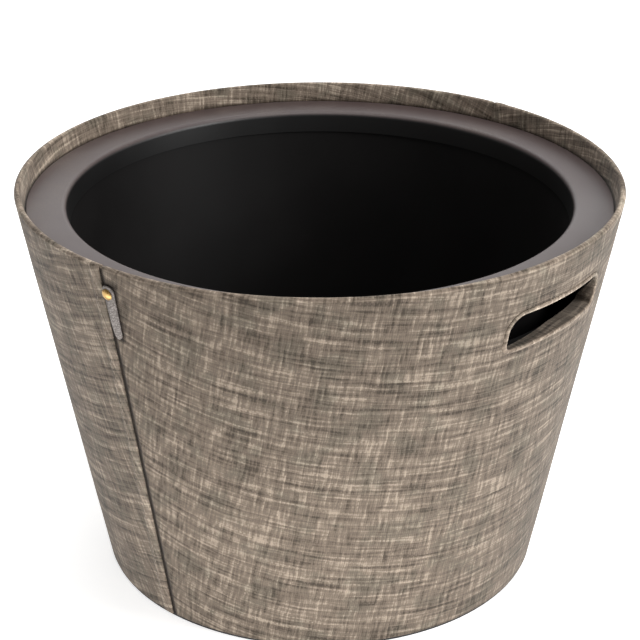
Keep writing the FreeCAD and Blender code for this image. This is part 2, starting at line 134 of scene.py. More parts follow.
class Graph:
    """Adds nodes to one tree and links them, with a value or a socket given the same way."""

    def __init__(self, tree: Tree) -> None:
        """Keeps the shader or geometry tree to build in."""
        self.tree = tree

    def feed(self, socket: Socket, value: Any) -> None:
        """Links a socket, or sets its plain value.

        Args:
            socket: The input to fill.
            value: An output socket, or a number, vector or colour.
        """
        if isinstance(value, Socket):
            self.tree.links.new(value, socket)
        else:
            socket.default_value = value

    def add(self, kind: str, values: Inputs | None = None, **settings: Any) -> Node:
        """Adds one node.

        Args:
            kind: The node's type name.
            values: Inputs by name or number.
            **settings: The node's own properties.

        Returns:
            The new node.
        """
        node = self.tree.nodes.new(kind)
        for name, value in settings.items():
            setattr(node, name, value)
        for key, value in (values or {}).items():
            self.feed(node.inputs[key], value)
        return node

    def calc(self, operation: str, *values: Any) -> Socket:
        """Adds a Math node on one to three numbers or sockets."""
        return self.add("ShaderNodeMath", dict(enumerate(values)), operation=operation).outputs[0]

    def span(self, value: Any, low: float, high: float, start: float = 0.0, end: float = 1.0) -> Socket:
        """Maps the range from low to high smoothly onto the one from start to end, and clamps it."""
        values = {"Value": value, "From Min": low, "From Max": high, "To Min": start, "To Max": end}
        return self.add("ShaderNodeMapRange", values, interpolation_type="SMOOTHSTEP").outputs[0]

    def mix(self, factor: Any, low: Any, high: Any, blend_type: str = "MIX") -> Socket:
        """Mixes two colours, with the factor saying how much of the second one shows."""
        values = {0: factor, 6: low, 7: high}
        return self.add("ShaderNodeMix", values, data_type="RGBA", blend_type=blend_type).outputs[2]

    def vector(self, x: Any, y: Any, z: Any = 0.0) -> Socket:
        """Joins three values into a vector."""
        return self.add("ShaderNodeCombineXYZ", {"X": x, "Y": y, "Z": z}).outputs[0]

    def cloud(self, place: Any, scale: Any, detail: float = 2.0, rough: float = 0.5) -> Node:
        """Adds noise of so many lumps per metre; its output 0 is the value and output 1 the colour."""
        values = {"Vector": place, "Scale": scale, "Detail": detail, "Roughness": rough}
        return self.add("ShaderNodeTexNoise", values)

    def place(self) -> Socket:
        """The point on the piece in metres, for patterns on solid materials."""
        return self.add("ShaderNodeTexCoord").outputs["Object"]

    def mark(self, name: str) -> Socket:
        """A value that the mesh keeps at each of its points."""
        return self.add("ShaderNodeAttribute", attribute_name=name).outputs["Fac"]

    def bump(self, height: Any, depth: float, strength: float) -> Socket:
        """A normal bumped by a pattern of about 0 to 1, where 1 stands for a depth in metres."""
        values = {"Height": height, "Distance": depth, "Strength": strength}
        return self.add("ShaderNodeBump", values).outputs[0]

    def group(self, tree: Tree, values: Inputs) -> Any:
        """Places a shared node group, and gives its outputs."""
        return self.add("ShaderNodeGroup", values, node_tree=tree).outputs


def new_group(name: str, kind: str, inputs: Sockets, outputs: dict[str, str]) -> tuple[Graph, Any, Any]:
    """Starts a node group with named sockets.

    Args:
        name: The group's name.
        kind: ShaderNodeTree or GeometryNodeTree.
        inputs: Socket type and first value by name.
        outputs: Socket type by name.

    Returns:
        The graph, what the group is given and what it puts out.
    """
    tree = bpy.data.node_groups.new(name, kind)
    for label, (socket_type, value) in inputs.items():
        socket = tree.interface.new_socket(label, in_out="INPUT", socket_type=socket_type)
        if value is not None:
            socket.default_value = value
    for label, socket_type in outputs.items():
        tree.interface.new_socket(label, in_out="OUTPUT", socket_type=socket_type)
    return Graph(tree), tree.nodes.new("NodeGroupInput").outputs, tree.nodes.new("NodeGroupOutput").inputs


def yarn_tone(
    graph: Graph, given: Any, number: Any, place: Any, length: Any, slub: str, offset: float
) -> Socket:
    """Tone of one yarn: its own drift along its length, and that of the bundle it was spun with.

    Args:
        graph: The weave's graph.
        given: What the weave is given.
        number: Which yarn it is.
        place: The place across the yarns, counted in yarns.
        length: The place along the yarn.
        slub: Name of the input with the streak's length.
        offset: Keeps the two sets of yarns apart.

    Returns:
        The tone, about 0 to 1.
    """
    spread, own_share = 7.31, 0.36
    run = graph.calc("DIVIDE", length, given[slub])
    own_at = graph.vector(graph.calc("MULTIPLY_ADD", number, spread, offset), run, given["Seed"])
    own = graph.cloud(own_at, 1.0, 2.0, 0.6).outputs[0]
    bundle = graph.calc("ADD", graph.calc("DIVIDE", place, given["Bundle"]), offset)
    shared_at = graph.vector(bundle, graph.calc("MULTIPLY", run, 0.8), given["Seed"])
    shared = graph.cloud(shared_at, 1.0, 3.0, 0.62).outputs[0]
    return graph.calc("MULTIPLY_ADD", graph.calc("SUBTRACT", own, shared), own_share, shared)


@cache
def thread_weave() -> Tree:
    """A plain weave of slubby mixed yarns, laid out on the flat cloth in metres.

    Each yarn has a tone of its own that drifts along its length, so light and dark streaks run
    both ways, and the yarn that passes over shows its tone.

    Returns:
        The shared group, built once.
    """
    drifts, patches, fibre_run, fibres = 70.0, 38.0, 260.0, 4.0
    level, rise = 0.55, 0.45
    inputs: Sockets = {
        "Place": (VECTOR, None),
        "Warp Pitch": (FLOAT, 0.002),
        "Weft Pitch": (FLOAT, 0.002),
        "Warp Slub": (FLOAT, 0.02),
        "Weft Slub": (FLOAT, 0.04),
        "Bundle": (FLOAT, 2.0),
        "Wander": (FLOAT, 0.001),
        "Contrast": (FLOAT, 1.0),
        "Light": (COLOUR, None),
        "Middle": (COLOUR, None),
        "Dark": (COLOUR, None),
        "Seed": (FLOAT, 0.0),
    }
    outputs = {"Colour": COLOUR, "Height": FLOAT, "Fibre": FLOAT, "Patch": FLOAT}
    graph, given, end = new_group("thread_weave", "ShaderNodeTree", inputs, outputs)
    calc = graph.calc
    place = graph.add("ShaderNodeSeparateXYZ", {"Vector": given["Place"]}).outputs

    drift_at = graph.vector(place[0], place[1], given["Seed"])
    drift = graph.cloud(drift_at, drifts, 2.0)
    parts = graph.add("ShaderNodeSeparateColor", {"Color": drift.outputs[1]}).outputs
    across, along = [
        calc("MULTIPLY_ADD", calc("SUBTRACT", part, 0.5), given["Wander"], line)
        for part, line in ((parts[0], place[0]), (parts[1], place[1]))
    ]

    warp_place = calc("DIVIDE", across, given["Warp Pitch"])
    weft_place = calc("DIVIDE", along, given["Weft Pitch"])
    warp_number, weft_number = calc("FLOOR", warp_place), calc("FLOOR", weft_place)
    warp_round, weft_round = [
        calc("SINE", calc("MULTIPLY", calc("FRACT", yarn), math.pi)) for yarn in (warp_place, weft_place)
    ]
    odd = calc("FLOORED_MODULO", calc("ADD", warp_number, weft_number), 2.0)
    over = calc("MULTIPLY_ADD", odd, -2.0 * rise, rise)
    under = calc("MULTIPLY", over, -1.0)
    warp_lift, weft_lift = [
        calc("MULTIPLY", calc("SQRT", own), calc("MULTIPLY_ADD", way, other, level))
        for own, way, other in ((warp_round, over, weft_round), (weft_round, under, warp_round))
    ]
    warp_on_top = calc("GREATER_THAN", warp_lift, weft_lift)
    height = calc("MAXIMUM", warp_lift, weft_lift)

    warp_tone = yarn_tone(graph, given, warp_number, warp_place, along, "Warp Slub", 3.7)
    weft_tone = yarn_tone(graph, given, weft_number, weft_place, across, "Weft Slub", 91.3)
    showing = calc("MULTIPLY_ADD", warp_on_top, 0.2, 0.36)
    tone = graph.add("ShaderNodeMix", {0: showing, 2: weft_tone, 3: warp_tone}, data_type="FLOAT").outputs[0]

    along_warp = graph.vector(calc("MULTIPLY", warp_place, fibres), calc("MULTIPLY", along, fibre_run))
    along_weft = graph.vector(calc("MULTIPLY", across, fibre_run), calc("MULTIPLY", weft_place, fibres))
    fibre_values = {0: warp_on_top, 4: along_weft, 5: along_warp}
    fibre_place = graph.add("ShaderNodeMix", fibre_values, data_type="VECTOR").outputs[1]
    fibre = graph.cloud(fibre_place, 1.0, 3.0, 0.65).outputs[0]
    patch = graph.cloud(drift_at, patches, 3.0, 0.6).outputs[0]

    tone = calc("MULTIPLY_ADD", calc("SUBTRACT", tone, 0.5), given["Contrast"], 0.5)
    for part, weight in ((fibre, 0.3), (patch, -0.32)):
        tone = calc("MULTIPLY_ADD", calc("SUBTRACT", part, 0.5), weight, tone)
    colour = graph.mix(graph.span(tone, 0.12, 0.5), given["Dark"], given["Middle"])
    colour = graph.mix(graph.span(tone, 0.5, 0.88), colour, given["Light"])
    # Painted shade: the low gaps between the yarns are darkened.
    gap = graph.span(height, 0.15, 0.7, 0.84, 1.0)
    graph.feed(end["Colour"], graph.mix(1.0, colour, graph.vector(gap, gap, gap), "MULTIPLY"))
    graph.feed(end["Height"], calc("MULTIPLY_ADD", fibre, 0.18, height))
    graph.feed(end["Fibre"], fibre)
    graph.feed(end["Patch"], patch)
    return graph.tree


@cache
def fine_grain() -> Tree:
    """Two sizes of grain on a solid surface: a fine tooth and a slower cloud.

    Returns:
        The shared group, built once.
    """
    inputs: Sockets = {
        "Place": (VECTOR, None),
        "Tooth": (FLOAT, 900.0),
        "Cloud": (FLOAT, 12.0),
        "Stretch": (VECTOR, (1.0, 1.0, 1.0)),
    }
    graph, given, end = new_group("fine_grain", "ShaderNodeTree", inputs, {"Tooth": FLOAT, "Cloud": FLOAT})
    place = given["Place"]
    values: Inputs = {0: place, 1: given["Stretch"]}
    drawn = graph.add("ShaderNodeVectorMath", values, operation="MULTIPLY").outputs[0]
    graph.feed(end["Tooth"], graph.cloud(drawn, given["Tooth"], 3.0, 0.6).outputs[0])
    graph.feed(end["Cloud"], graph.cloud(place, given["Cloud"], 3.0, 0.55).outputs[0])
    return graph.tree


@cache
def handling_marks() -> Tree:
    """Dust that settles on faces that look up, and thin streaks scuffed by handling.

    Returns:
        The shared group, built once.
    """
    specks, bends, sweep = 700.0, 6.0, 0.12
    inputs: Sockets = {"Place": (VECTOR, None), "Streak Scale": (FLOAT, 30.0), "Dust Scale": (FLOAT, 9.0)}
    outputs = {"Dust": FLOAT, "Rubbed": FLOAT}
    graph, given, end = new_group("handling_marks", "ShaderNodeTree", inputs, outputs)
    place = given["Place"]
    facing = graph.add("ShaderNodeNewGeometry").outputs["Normal"]
    up = graph.add("ShaderNodeSeparateXYZ", {"Vector": facing}).outputs[2]
    settled = graph.cloud(place, given["Dust Scale"], 5.0, 0.65).outputs[0]
    speck = graph.cloud(place, specks, 1.0, 0.5).outputs[0]
    dust = graph.calc("MULTIPLY", graph.span(up, 0.3, 0.95), graph.span(settled, 0.42, 0.75))
    graph.feed(end["Dust"], graph.calc("MULTIPLY", dust, graph.span(speck, 0.35, 0.65, 0.35, 1.0)))
    bent = graph.cloud(place, bends, 1.0).outputs[1]
    swept = graph.add("ShaderNodeVectorMath", {0: bent, 1: (sweep,) * 3, 2: place}, operation="MULTIPLY_ADD")
    streak = graph.cloud(swept.outputs[0], given["Streak Scale"], 6.0, 0.75).outputs[0]
    graph.feed(end["Rubbed"], graph.span(streak, 0.6, 0.74))
    return graph.tree


# ---------------------------------------------------------------------------------------------
# Finishes
# ---------------------------------------------------------------------------------------------


@dataclass(frozen=True)
class Finish:
    """What every finish has.

    Attributes:
        name: The material's name.
        colour: Its main colour, shown where nodes are not.
    """

    name: str
    colour: Colour

    def material(self) -> bpy.types.Material:
        """Builds the finish as a material the first time it is asked for.

        Returns:
            The material.
        """
        known = bpy.data.materials.get(self.name)
        if known is not None:
            return known
        made = bpy.data.materials.new(self.name)
        made.use_nodes = True
        made.node_tree.nodes.clear()
        graph = Graph(made.node_tree)
        shader = graph.add("ShaderNodeBsdfPrincipled", self.dress(graph))
        graph.add("ShaderNodeOutputMaterial", {"Surface": shader.outputs[0]})
        made.diffuse_color = self.colour
        return made

    def dress(self, graph: Graph) -> Inputs:
        """The Principled shader's inputs by name, made in the material's graph."""
        raise NotImplementedError


@dataclass(frozen=True)
class WovenCloth(Finish):
    """Heathered cloth, with its yarns straight on the flat cut and its main colour the common yarns'.

    Attributes:
        light: The pale yarns.
        dark: The dark slubs.
        cool: The grey that some patches lean to.
        highlight_gain: How much paler the painted highlight makes the cloth, in each channel.
        shade_tint: The tint of the painted shade in the seam's gap, under the hem's fold, above the insert's
            ring and round the tab.
        warp_pitch: From one upright yarn to the next.
        weft_pitch: From one level yarn to the next.
        warp_slub: Length of a streak in an upright yarn.
        weft_slub: Length of a streak in a level yarn.
        bundle: How many yarns next to each other share a streak.
        wander: How far a yarn strays from its line.
        contrast: How far the yarns' tones lie apart.
        relief: How far a yarn stands up.
        seed: Which piece of the bolt this is.
    """

    light: Colour
    dark: Colour
    cool: Colour
    highlight_gain: Colour
    shade_tint: Colour
    warp_pitch: float = 1.7 * MM
    weft_pitch: float = 2.0 * MM
    warp_slub: float = 20.0 * MM
    weft_slub: float = 56.0 * MM
    bundle: float = 1.9
    wander: float = 2.2 * MM
    contrast: float = 3.6
    relief: float = 0.28 * MM
    seed: float = 1.0

    def dress(self, graph: Graph) -> Inputs:
        """Weaves the yarns, tints the patches, lightens the painted highlights and darkens the painted shade.

        Args:
            graph: The material's graph.

        Returns:
            The shader's inputs by name.
        """
        values: Inputs = {
            "Place": graph.add("ShaderNodeUVMap", uv_map=CLOTH_MAP).outputs[0],
            "Warp Pitch": self.warp_pitch,
            "Weft Pitch": self.weft_pitch,
            "Warp Slub": self.warp_slub,
            "Weft Slub": self.weft_slub,
            "Bundle": self.bundle,
            "Wander": self.wander,
            "Contrast": self.contrast,
            "Light": self.light,
            "Middle": self.colour,
            "Dark": self.dark,
            "Seed": self.seed,
        }
        weave = graph.group(thread_weave(), values)
        yarns = weave["Colour"]
        tint = graph.span(weave["Patch"], 0.48, 0.64, 0.0, 0.5)
        cloth = graph.mix(tint, yarns, graph.mix(1.0, yarns, self.cool, "MULTIPLY"))
        # Painted highlight: the cloth is made paler on the rim's crown, the hem, the slot lips and the inner
        # band.
        cloth = graph.mix(graph.mark(HIGHLIGHT_MARK), cloth, graph.mix(1.0, cloth, self.highlight_gain, "MULTIPLY"))
        return {
            # Painted shade: the cloth is darkened where the mesh marks shade.
            "Base Color": graph.mix(graph.mark(SHADE_MARK), cloth, graph.mix(1.0, cloth, self.shade_tint, "MULTIPLY")),
            "Roughness": graph.span(weave["Fibre"], 0.3, 0.7, 0.82, 0.97),
            "Normal": graph.bump(weave["Height"], self.relief, 0.8),
            "Sheen Weight": 0.12,
            "Sheen Roughness": 0.45,
            "Specular IOR Level": 0.25,
        }


@dataclass(frozen=True)
class CoatedMetal(Finish):
    """Sheet steel under a fine-toothed powder coat.

    Attributes:
        rubbed: The coat where handling has scuffed it.
        rough: Its roughness where it is clean.
        ior: How strongly the coat mirrors at a low angle.
        dust: How much dust lies on it.
        tooth: Grains of the coat per metre.
        shadowed_below: Height under which the coat is darkened with painted shade, if it is above the floor.
    """

    rubbed: Colour
    rough: float = 0.36
    ior: float = 1.6
    dust: float = 0.25
    tooth: float = 1500.0
    shadowed_below: float = 0.0

    def dress(self, graph: Graph) -> Inputs:
        """Grains the coat, dusts it, and rubs it here and there.

        Args:
            graph: The material's graph.

        Returns:
            The shader's inputs by name.
        """
        place = graph.place()
        grain = graph.group(fine_grain(), {"Place": place, "Tooth": self.tooth, "Cloud": 7.0})
        marks = graph.group(handling_marks(), {"Place": place})
        coat = graph.mix(graph.span(grain["Cloud"], 0.3, 0.7, 0.0, 0.3), self.colour, self.rubbed)
        coat = graph.mix(graph.calc("MULTIPLY", marks["Rubbed"], 0.35), coat, self.rubbed)
        # Painted shade: below this height the coat turns near black, down inside the mouth.
        if self.shadowed_below:
            height = graph.add("ShaderNodeSeparateXYZ", {"Vector": place}).outputs["Z"]
            shadowed = graph.span(height, self.shadowed_below - 2.5 * MM, self.shadowed_below, 1.0, 0.0)
            coat = graph.mix(shadowed, coat, MOUTH_SHADE)
        dust = graph.calc("MULTIPLY", marks["Dust"], self.dust)
        rough = graph.span(grain["Cloud"], 0.25, 0.75, self.rough - 0.05, self.rough + 0.06)
        return {
            "Base Color": graph.mix(dust, coat, DUST),
            "Roughness": graph.calc("MULTIPLY_ADD", dust, 0.45, rough),
            "Normal": graph.bump(grain["Tooth"], 0.05 * MM, 0.5),
            "IOR": self.ior,
        }


@dataclass(frozen=True)
class Hide(Finish):
    """Soft grey leather with pebbled grain, pale scuffed crowns and painted shade on one side.

    Attributes:
        hollow: The colour in the grain's hollows.
        shaded_side: The dark colour of the painted shade on its left side and back.
    """

    hollow: Colour
    shaded_side: Colour

    def dress(self, graph: Graph) -> Inputs:
        """Pebbles the face, darkens its hollows and paints shade where the mesh marks it.

        Args:
            graph: The material's graph.

        Returns:
            The shader's inputs by name.
        """
        place = graph.place()
        grain = graph.group(fine_grain(), {"Place": place, "Tooth": 1400.0, "Cloud": 90.0})
        cells = graph.add("ShaderNodeTexVoronoi", {"Vector": place, "Scale": 850.0}, feature="SMOOTH_F1")
        pebble = graph.span(cells.outputs["Distance"], 0.1, 0.62, 1.0, 0.0)
        face = graph.mix(pebble, self.hollow, self.colour)
        face = graph.mix(graph.span(grain["Cloud"], 0.45, 0.75, 0.0, 0.4), face, self.hollow)
        return {
            "Base Color": graph.mix(graph.mark(SHADE_MARK), face, self.shaded_side),
            "Roughness": graph.span(grain["Tooth"], 0.3, 0.7, 0.42, 0.6),
            "Normal": graph.bump(graph.calc("MULTIPLY_ADD", grain["Tooth"], 0.3, pebble), 0.16 * MM, 0.7),
        }


@dataclass(frozen=True)
class BareMetal(Finish):
    """Turned or rolled metal with fine lines and a dull film in places.

    Attributes:
        dull: The tarnished metal.
        rough: Its roughness where it is clean.
    """

    dull: Colour
    rough: float = 0.3

    def dress(self, graph: Graph) -> Inputs:
        """Draws the fine lines and the tarnish.

        Args:
            graph: The material's graph.

        Returns:
            The shader's inputs by name.
        """
        values: Inputs = {"Place": graph.place(), "Tooth": 2200.0, "Cloud": 260.0, "Stretch": (1.0, 1.0, 0.1)}
        grain = graph.group(fine_grain(), values)
        tarnish = graph.span(grain["Cloud"], 0.45, 0.75)
        rough = graph.calc("MULTIPLY_ADD", tarnish, 0.2, self.rough)
        return {
            "Base Color": graph.mix(tarnish, self.colour, self.dull),
            "Roughness": graph.calc("MULTIPLY_ADD", grain["Tooth"], 0.08, rough),
            "Normal": graph.bump(grain["Tooth"], 0.02 * MM, 0.4),
            "Metallic": 1.0,
        }


@dataclass(frozen=True)
class PressedBoard(Finish):
    """Pressed fibreboard or spun yarn, flecked with long fibres.

    Attributes:
        fleck: The darker fibres.
    """

    fleck: Colour

    def dress(self, graph: Graph) -> Inputs:
        """Scatters the fibres over the surface.

        Args:
            graph: The material's graph.

        Returns:
            The shader's inputs by name.
        """
        values: Inputs = {"Place": graph.place(), "Tooth": 420.0, "Cloud": 16.0, "Stretch": (0.5, 0.5, 1.0)}
        grain = graph.group(fine_grain(), values)
        flecks = graph.calc("MULTIPLY", graph.span(grain["Tooth"], 0.5, 0.66), 0.6)
        board = graph.mix(flecks, self.colour, self.fleck)
        return {
            "Base Color": graph.mix(graph.span(grain["Cloud"], 0.3, 0.7, 0.0, 0.35), board, self.fleck),
            "Roughness": graph.span(grain["Tooth"], 0.3, 0.7, 0.8, 0.94),
            "Normal": graph.bump(grain["Tooth"], 0.12 * MM, 0.6),
        }


@dataclass(frozen=True)
class MouldedPlastic(Finish):
    """Black moulded or rolled plastic with a fine matt texture.

    Attributes:
        rough: Its roughness where it is clean.
    """

    rough: float = 0.5

    def dress(self, graph: Graph) -> Inputs:
        """Textures the plastic and rubs it pale here and there.

        Args:
            graph: The material's graph.

        Returns:
            The shader's inputs by name.
        """
        place = graph.place()
        grain = graph.group(fine_grain(), {"Place": place, "Tooth": 1300.0, "Cloud": 20.0})
        marks = graph.group(handling_marks(), {"Place": place, "Streak Scale": 60.0})
        return {
            "Base Color": graph.mix(graph.calc("MULTIPLY", marks["Rubbed"], 0.25), self.colour, SCUFF),
            "Roughness": graph.span(grain["Cloud"], 0.3, 0.7, self.rough - 0.06, self.rough + 0.1),
            "Normal": graph.bump(grain["Tooth"], 0.06 * MM, 0.6),
        }


@dataclass(frozen=True)
class StudioPaper(Finish):
    """The pale paper that the basket stands on.

    Attributes:
        shaded: The paper where it is least even.
        glow: How much light comes up through it from the table below.
    """

    shaded: Colour
    glow: float = 0.82

    def dress(self, graph: Graph) -> Inputs:
        """Gives the paper a barely visible tooth.

        Args:
            graph: The material's graph.

        Returns:
            The shader's inputs by name.
        """
        grain = graph.group(fine_grain(), {"Place": graph.place(), "Tooth": 300.0, "Cloud": 2.0})
        cloud = graph.span(grain["Cloud"], 0.2, 0.8, 0.0, 0.03)
        return {
            "Base Color": graph.mix(cloud, self.colour, self.shaded),
            "Roughness": 0.9,
            "Specular IOR Level": 0.1,
            "Emission Color": self.colour,
            "Emission Strength": self.glow,
        }


CLOTH_RIGHT = WovenCloth(
    "heathered_cloth_right",
    shade(109, 97, 85),
    light=shade(157, 143, 127),
    dark=shade(67, 58, 49),
    cool=shade(226, 236, 235),
    # The gain of the painted highlights, then the tint of the painted shade.
    highlight_gain=(1.95, 1.97, 2.0, 1.0),
    shade_tint=shade(104, 94, 86),
    seed=3.1,
)
CLOTH_LEFT = replace(CLOTH_RIGHT, name="heathered_cloth_left", seed=8.6)
EDGING = replace(CLOTH_RIGHT, name="heathered_edging", seed=5.2)
SEWING_YARN = PressedBoard("sewing_yarn", shade(158, 146, 132), shade(120, 108, 96))
# The near black of the painted shade inside the ring's mouth.
MOUTH_SHADE = shade(9, 8, 8)
DUST = shade(150, 140, 128)
SCUFF = shade(84, 82, 80)
MOUTH_LINE = 0.3196 - 1.0 * MM
# Below the mouth line the ring's lip carries painted shade.
RING_COAT = CoatedMetal(
    "graphite_coat", shade(74, 61, 60), shade(88, 74, 72), 0.46, 1.58, shadowed_below=MOUTH_LINE
)
# The bucket's black coat is made darker still, as painted shade for its inside.
BUCKET_COAT = CoatedMetal("soot_black_coat", shade(14, 12, 12), shade(26, 23, 22), 0.55, 1.4, dust=0.08)
# The last colour is the painted shade on the tab's left side.
TAB_HIDE = Hide("grey_hide", shade(152, 144, 140), shade(100, 92, 86), shade(58, 46, 39))
BRASS = BareMetal("aged_brass", shade(206, 170, 110), shade(122, 86, 40))
STEEL = BareMetal("plated_steel", shade(176, 176, 178), shade(128, 126, 124))
BOARD = PressedBoard("pressed_fibreboard", shade(122, 108, 92), shade(76, 64, 52))
GRIP_PLASTIC = MouldedPlastic("black_grip_plastic", shade(26, 25, 25))
BASE_SHEET = MouldedPlastic("black_base_sheet", shade(20, 19, 19), 0.6)
PAPER = StudioPaper("studio_paper", shade(240, 240, 240), shade(226, 226, 226))

FINISH_OF_SLOT: dict[str, Finish] = {
    "woven_cloth": CLOTH_RIGHT,
    "core_board": BOARD,
    "grip_plastic": GRIP_PLASTIC,
    "base_sheet": BASE_SHEET,
    "grey_leather": TAB_HIDE,
    "brass": BRASS,
    "steel": STEEL,
    "dark_metal": BUCKET_COAT,
}


# ---------------------------------------------------------------------------------------------
# Meshes
# ---------------------------------------------------------------------------------------------


def settle(mesh: Mesh, sharp_above: float = 40.0) -> None:
    """Drops what has no face, merges doubles, points the faces outwards and smooths all but the sharp edges.

    Args:
        mesh: The mesh to finish.
        sharp_above: Edges that bend by more than this many degrees stay sharp.
    """
    work = bmesh.new()
    work.from_mesh(mesh)
    bmesh.ops.delete(work, geom=[vertex for vertex in work.verts if not vertex.link_faces], context="VERTS")
    bmesh.ops.remove_doubles(work, verts=work.verts, dist=MERGE)
    bmesh.ops.dissolve_degenerate(work, edges=work.edges, dist=MERGE)
    bmesh.ops.delete(work, geom=[edge for edge in work.edges if not edge.link_faces], context="EDGES")
    bmesh.ops.recalc_face_normals(work, faces=work.faces)
    work.to_mesh(mesh)
    work.free()
    mesh.shade_smooth()
    mesh.set_sharp_from_angle(angle=math.radians(sharp_above))


def add_object(name: str, mesh: Mesh) -> Piece:
    """Puts a mesh into the scene at the origin.

    Args:
        name: The piece's name.
        mesh: Its mesh, in place.

    Returns:
        The new object.
    """
    made = bpy.data.objects.new(name, mesh)
    bpy.context.scene.collection.objects.link(made)
    return made


def mesh_of(
    name: str,
    points: Iterable[Sequence[float]],
    faces: Iterable[Sequence[int]],
    edges: Iterable[Sequence[int]] = (),
) -> Mesh:
    """Builds a plain mesh.

    Args:
        name: The mesh's name.
        points: Its vertices.
        faces: Vertex numbers of each face.
        edges: Vertex numbers of each edge that has no face.

    Returns:
        The mesh.
    """
    mesh = bpy.data.meshes.new(name)
    mesh.from_pydata([tuple(point) for point in points], list(edges), [tuple(face) for face in faces])
    mesh.update()
    return mesh


def ride_as(piece: Piece, finish: Finish, body: Body, slot: str, *nodes: str) -> Piece:
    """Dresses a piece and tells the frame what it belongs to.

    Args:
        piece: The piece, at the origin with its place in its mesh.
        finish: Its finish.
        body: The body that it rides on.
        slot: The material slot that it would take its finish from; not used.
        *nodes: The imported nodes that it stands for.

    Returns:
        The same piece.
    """
    piece.data.materials.clear()
    piece.data.materials.append(finish.material())
    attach(piece, body.value)
    if nodes:
        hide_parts(*nodes)
    LOG.info("%s: %d faces, rides on %s", piece.name, len(piece.data.polygons), body.value)
    return piece


def close_tree(graph: Graph, end: Any, shape: Socket, material: Socket) -> Tree:
    """Ends a geometry tree: makes its instances real and sets their material.

    Args:
        graph: The tree's graph.
        end: What the tree puts out.
        shape: The geometry so far.
        material: The material.

    Returns:
        The tree.
    """
    real = graph.add("GeometryNodeRealizeInstances", {"Geometry": shape})
    dressed = graph.add("GeometryNodeSetMaterial", {"Geometry": real.outputs[0], "Material": material})
    graph.feed(end[0], dressed.outputs[0])
    return graph.tree


@cache
def turned_ring() -> Tree:
    """A geometry tree that turns a closed section, loose vertices in order in the XZ plane, about the Z axis.

    Returns:
        The shared tree, built once.
    """
    inputs: Sockets = {
        "Section": (GEOMETRY, None),
        "Segments": (WHOLE, 96),
        "Merge Distance": (FLOAT, MERGE),
        "Material": (MATERIAL, None),
    }
    graph, given, end = new_group("turned_ring", "GeometryNodeTree", inputs, {"Geometry": GEOMETRY})
    calc = graph.calc
    size = graph.add("GeometryNodeAttributeDomainSize", {"Geometry": given["Section"]}, component="MESH")
    count = size.outputs["Point Count"]
    rows, columns = calc("ADD", count, 1.0), calc("ADD", given["Segments"], 1.0)
    grid = graph.add("GeometryNodeMeshGrid", {"Vertices X": columns, "Vertices Y": rows}).outputs["Mesh"]
    number = graph.add("GeometryNodeInputIndex").outputs[0]
    column = calc("FLOOR", calc("DIVIDE", calc("ADD", number, 0.5), rows))
    row = calc("SUBTRACT", number, calc("MULTIPLY", column, rows))
    place = graph.add("GeometryNodeInputPosition").outputs[0]
    values: Inputs = {"Geometry": given["Section"], "Value": place, "Index": calc("MODULO", row, count)}
    sample = graph.add("GeometryNodeSampleIndex", values, data_type="FLOAT_VECTOR", domain="POINT").outputs[0]
    turn = calc("MULTIPLY", calc("DIVIDE", column, given["Segments"]), 2.0 * math.pi)
    values = {"Vector": sample, "Angle": turn}
    spun = graph.add("ShaderNodeVectorRotate", values, rotation_type="Z_AXIS").outputs[0]
    moved = graph.add("GeometryNodeSetPosition", {"Geometry": grid, "Position": spun}).outputs[0]
    values = {"Geometry": moved, "Distance": given["Merge Distance"]}
    closed = graph.add("GeometryNodeMergeByDistance", values).outputs[0]
    return close_tree(graph, end, closed, given["Material"])


@cache
def stitch_row() -> Tree:
    """A geometry tree that lays a running stitch along a path.

    Returns:
        The shared tree, built once.
    """
    inputs: Sockets = {
        "Path": (GEOMETRY, None),
        "Spacing": (FLOAT, 0.005),
        "Stitch Length": (FLOAT, 0.0035),
        "Yarn Thickness": (FLOAT, 0.0006),
        "Tilt": (FLOAT, 0.06),
        "Seed": (WHOLE, 0),
        "Material": (MATERIAL, None),
    }
    graph, given, end = new_group("stitch_row", "GeometryNodeTree", inputs, {"Geometry": GEOMETRY})
    curve = graph.add("GeometryNodeMeshToCurve", {"Mesh": given["Path"]}).outputs[0]
    even = graph.add("GeometryNodeResampleCurve", {"Curve": curve, "Length": given["Spacing"]}, mode="LENGTH")
    bead = graph.add("GeometryNodeMeshUVSphere", {"Segments": 8, "Rings": 6, "Radius": 0.5}).outputs["Mesh"]
    size = graph.vector(given["Stitch Length"], given["Yarn Thickness"], given["Yarn Thickness"])
    stitch = graph.add("GeometryNodeTransform", {"Geometry": bead, "Scale": size})
    tangent = graph.add("GeometryNodeInputTangent").outputs[0]
    aim = graph.add("FunctionNodeAlignRotationToVector", {"Vector": tangent}, axis="X").outputs[0]
    sway = graph.add("FunctionNodeRandomValue", {"Seed": given["Seed"]}, data_type="FLOAT")
    low, high = [socket for socket in sway.inputs if socket.type == "VALUE" and socket.enabled]
    graph.feed(low, graph.calc("MULTIPLY", given["Tilt"], -1.0))
    graph.feed(high, given["Tilt"])
    swayed = [socket for socket in sway.outputs if socket.enabled][0]
    turn = {0: aim, 1: graph.vector(0.0, swayed, swayed)}
    tilted = graph.add("FunctionNodeRotateRotation", turn, rotation_space="LOCAL").outputs[0]
    values: Inputs = {"Points": even.outputs[0], "Instance": stitch.outputs[0], "Rotation": tilted}
    laid = graph.add("GeometryNodeInstanceOnPoints", values).outputs[0]
    return close_tree(graph, end, laid, given["Material"])


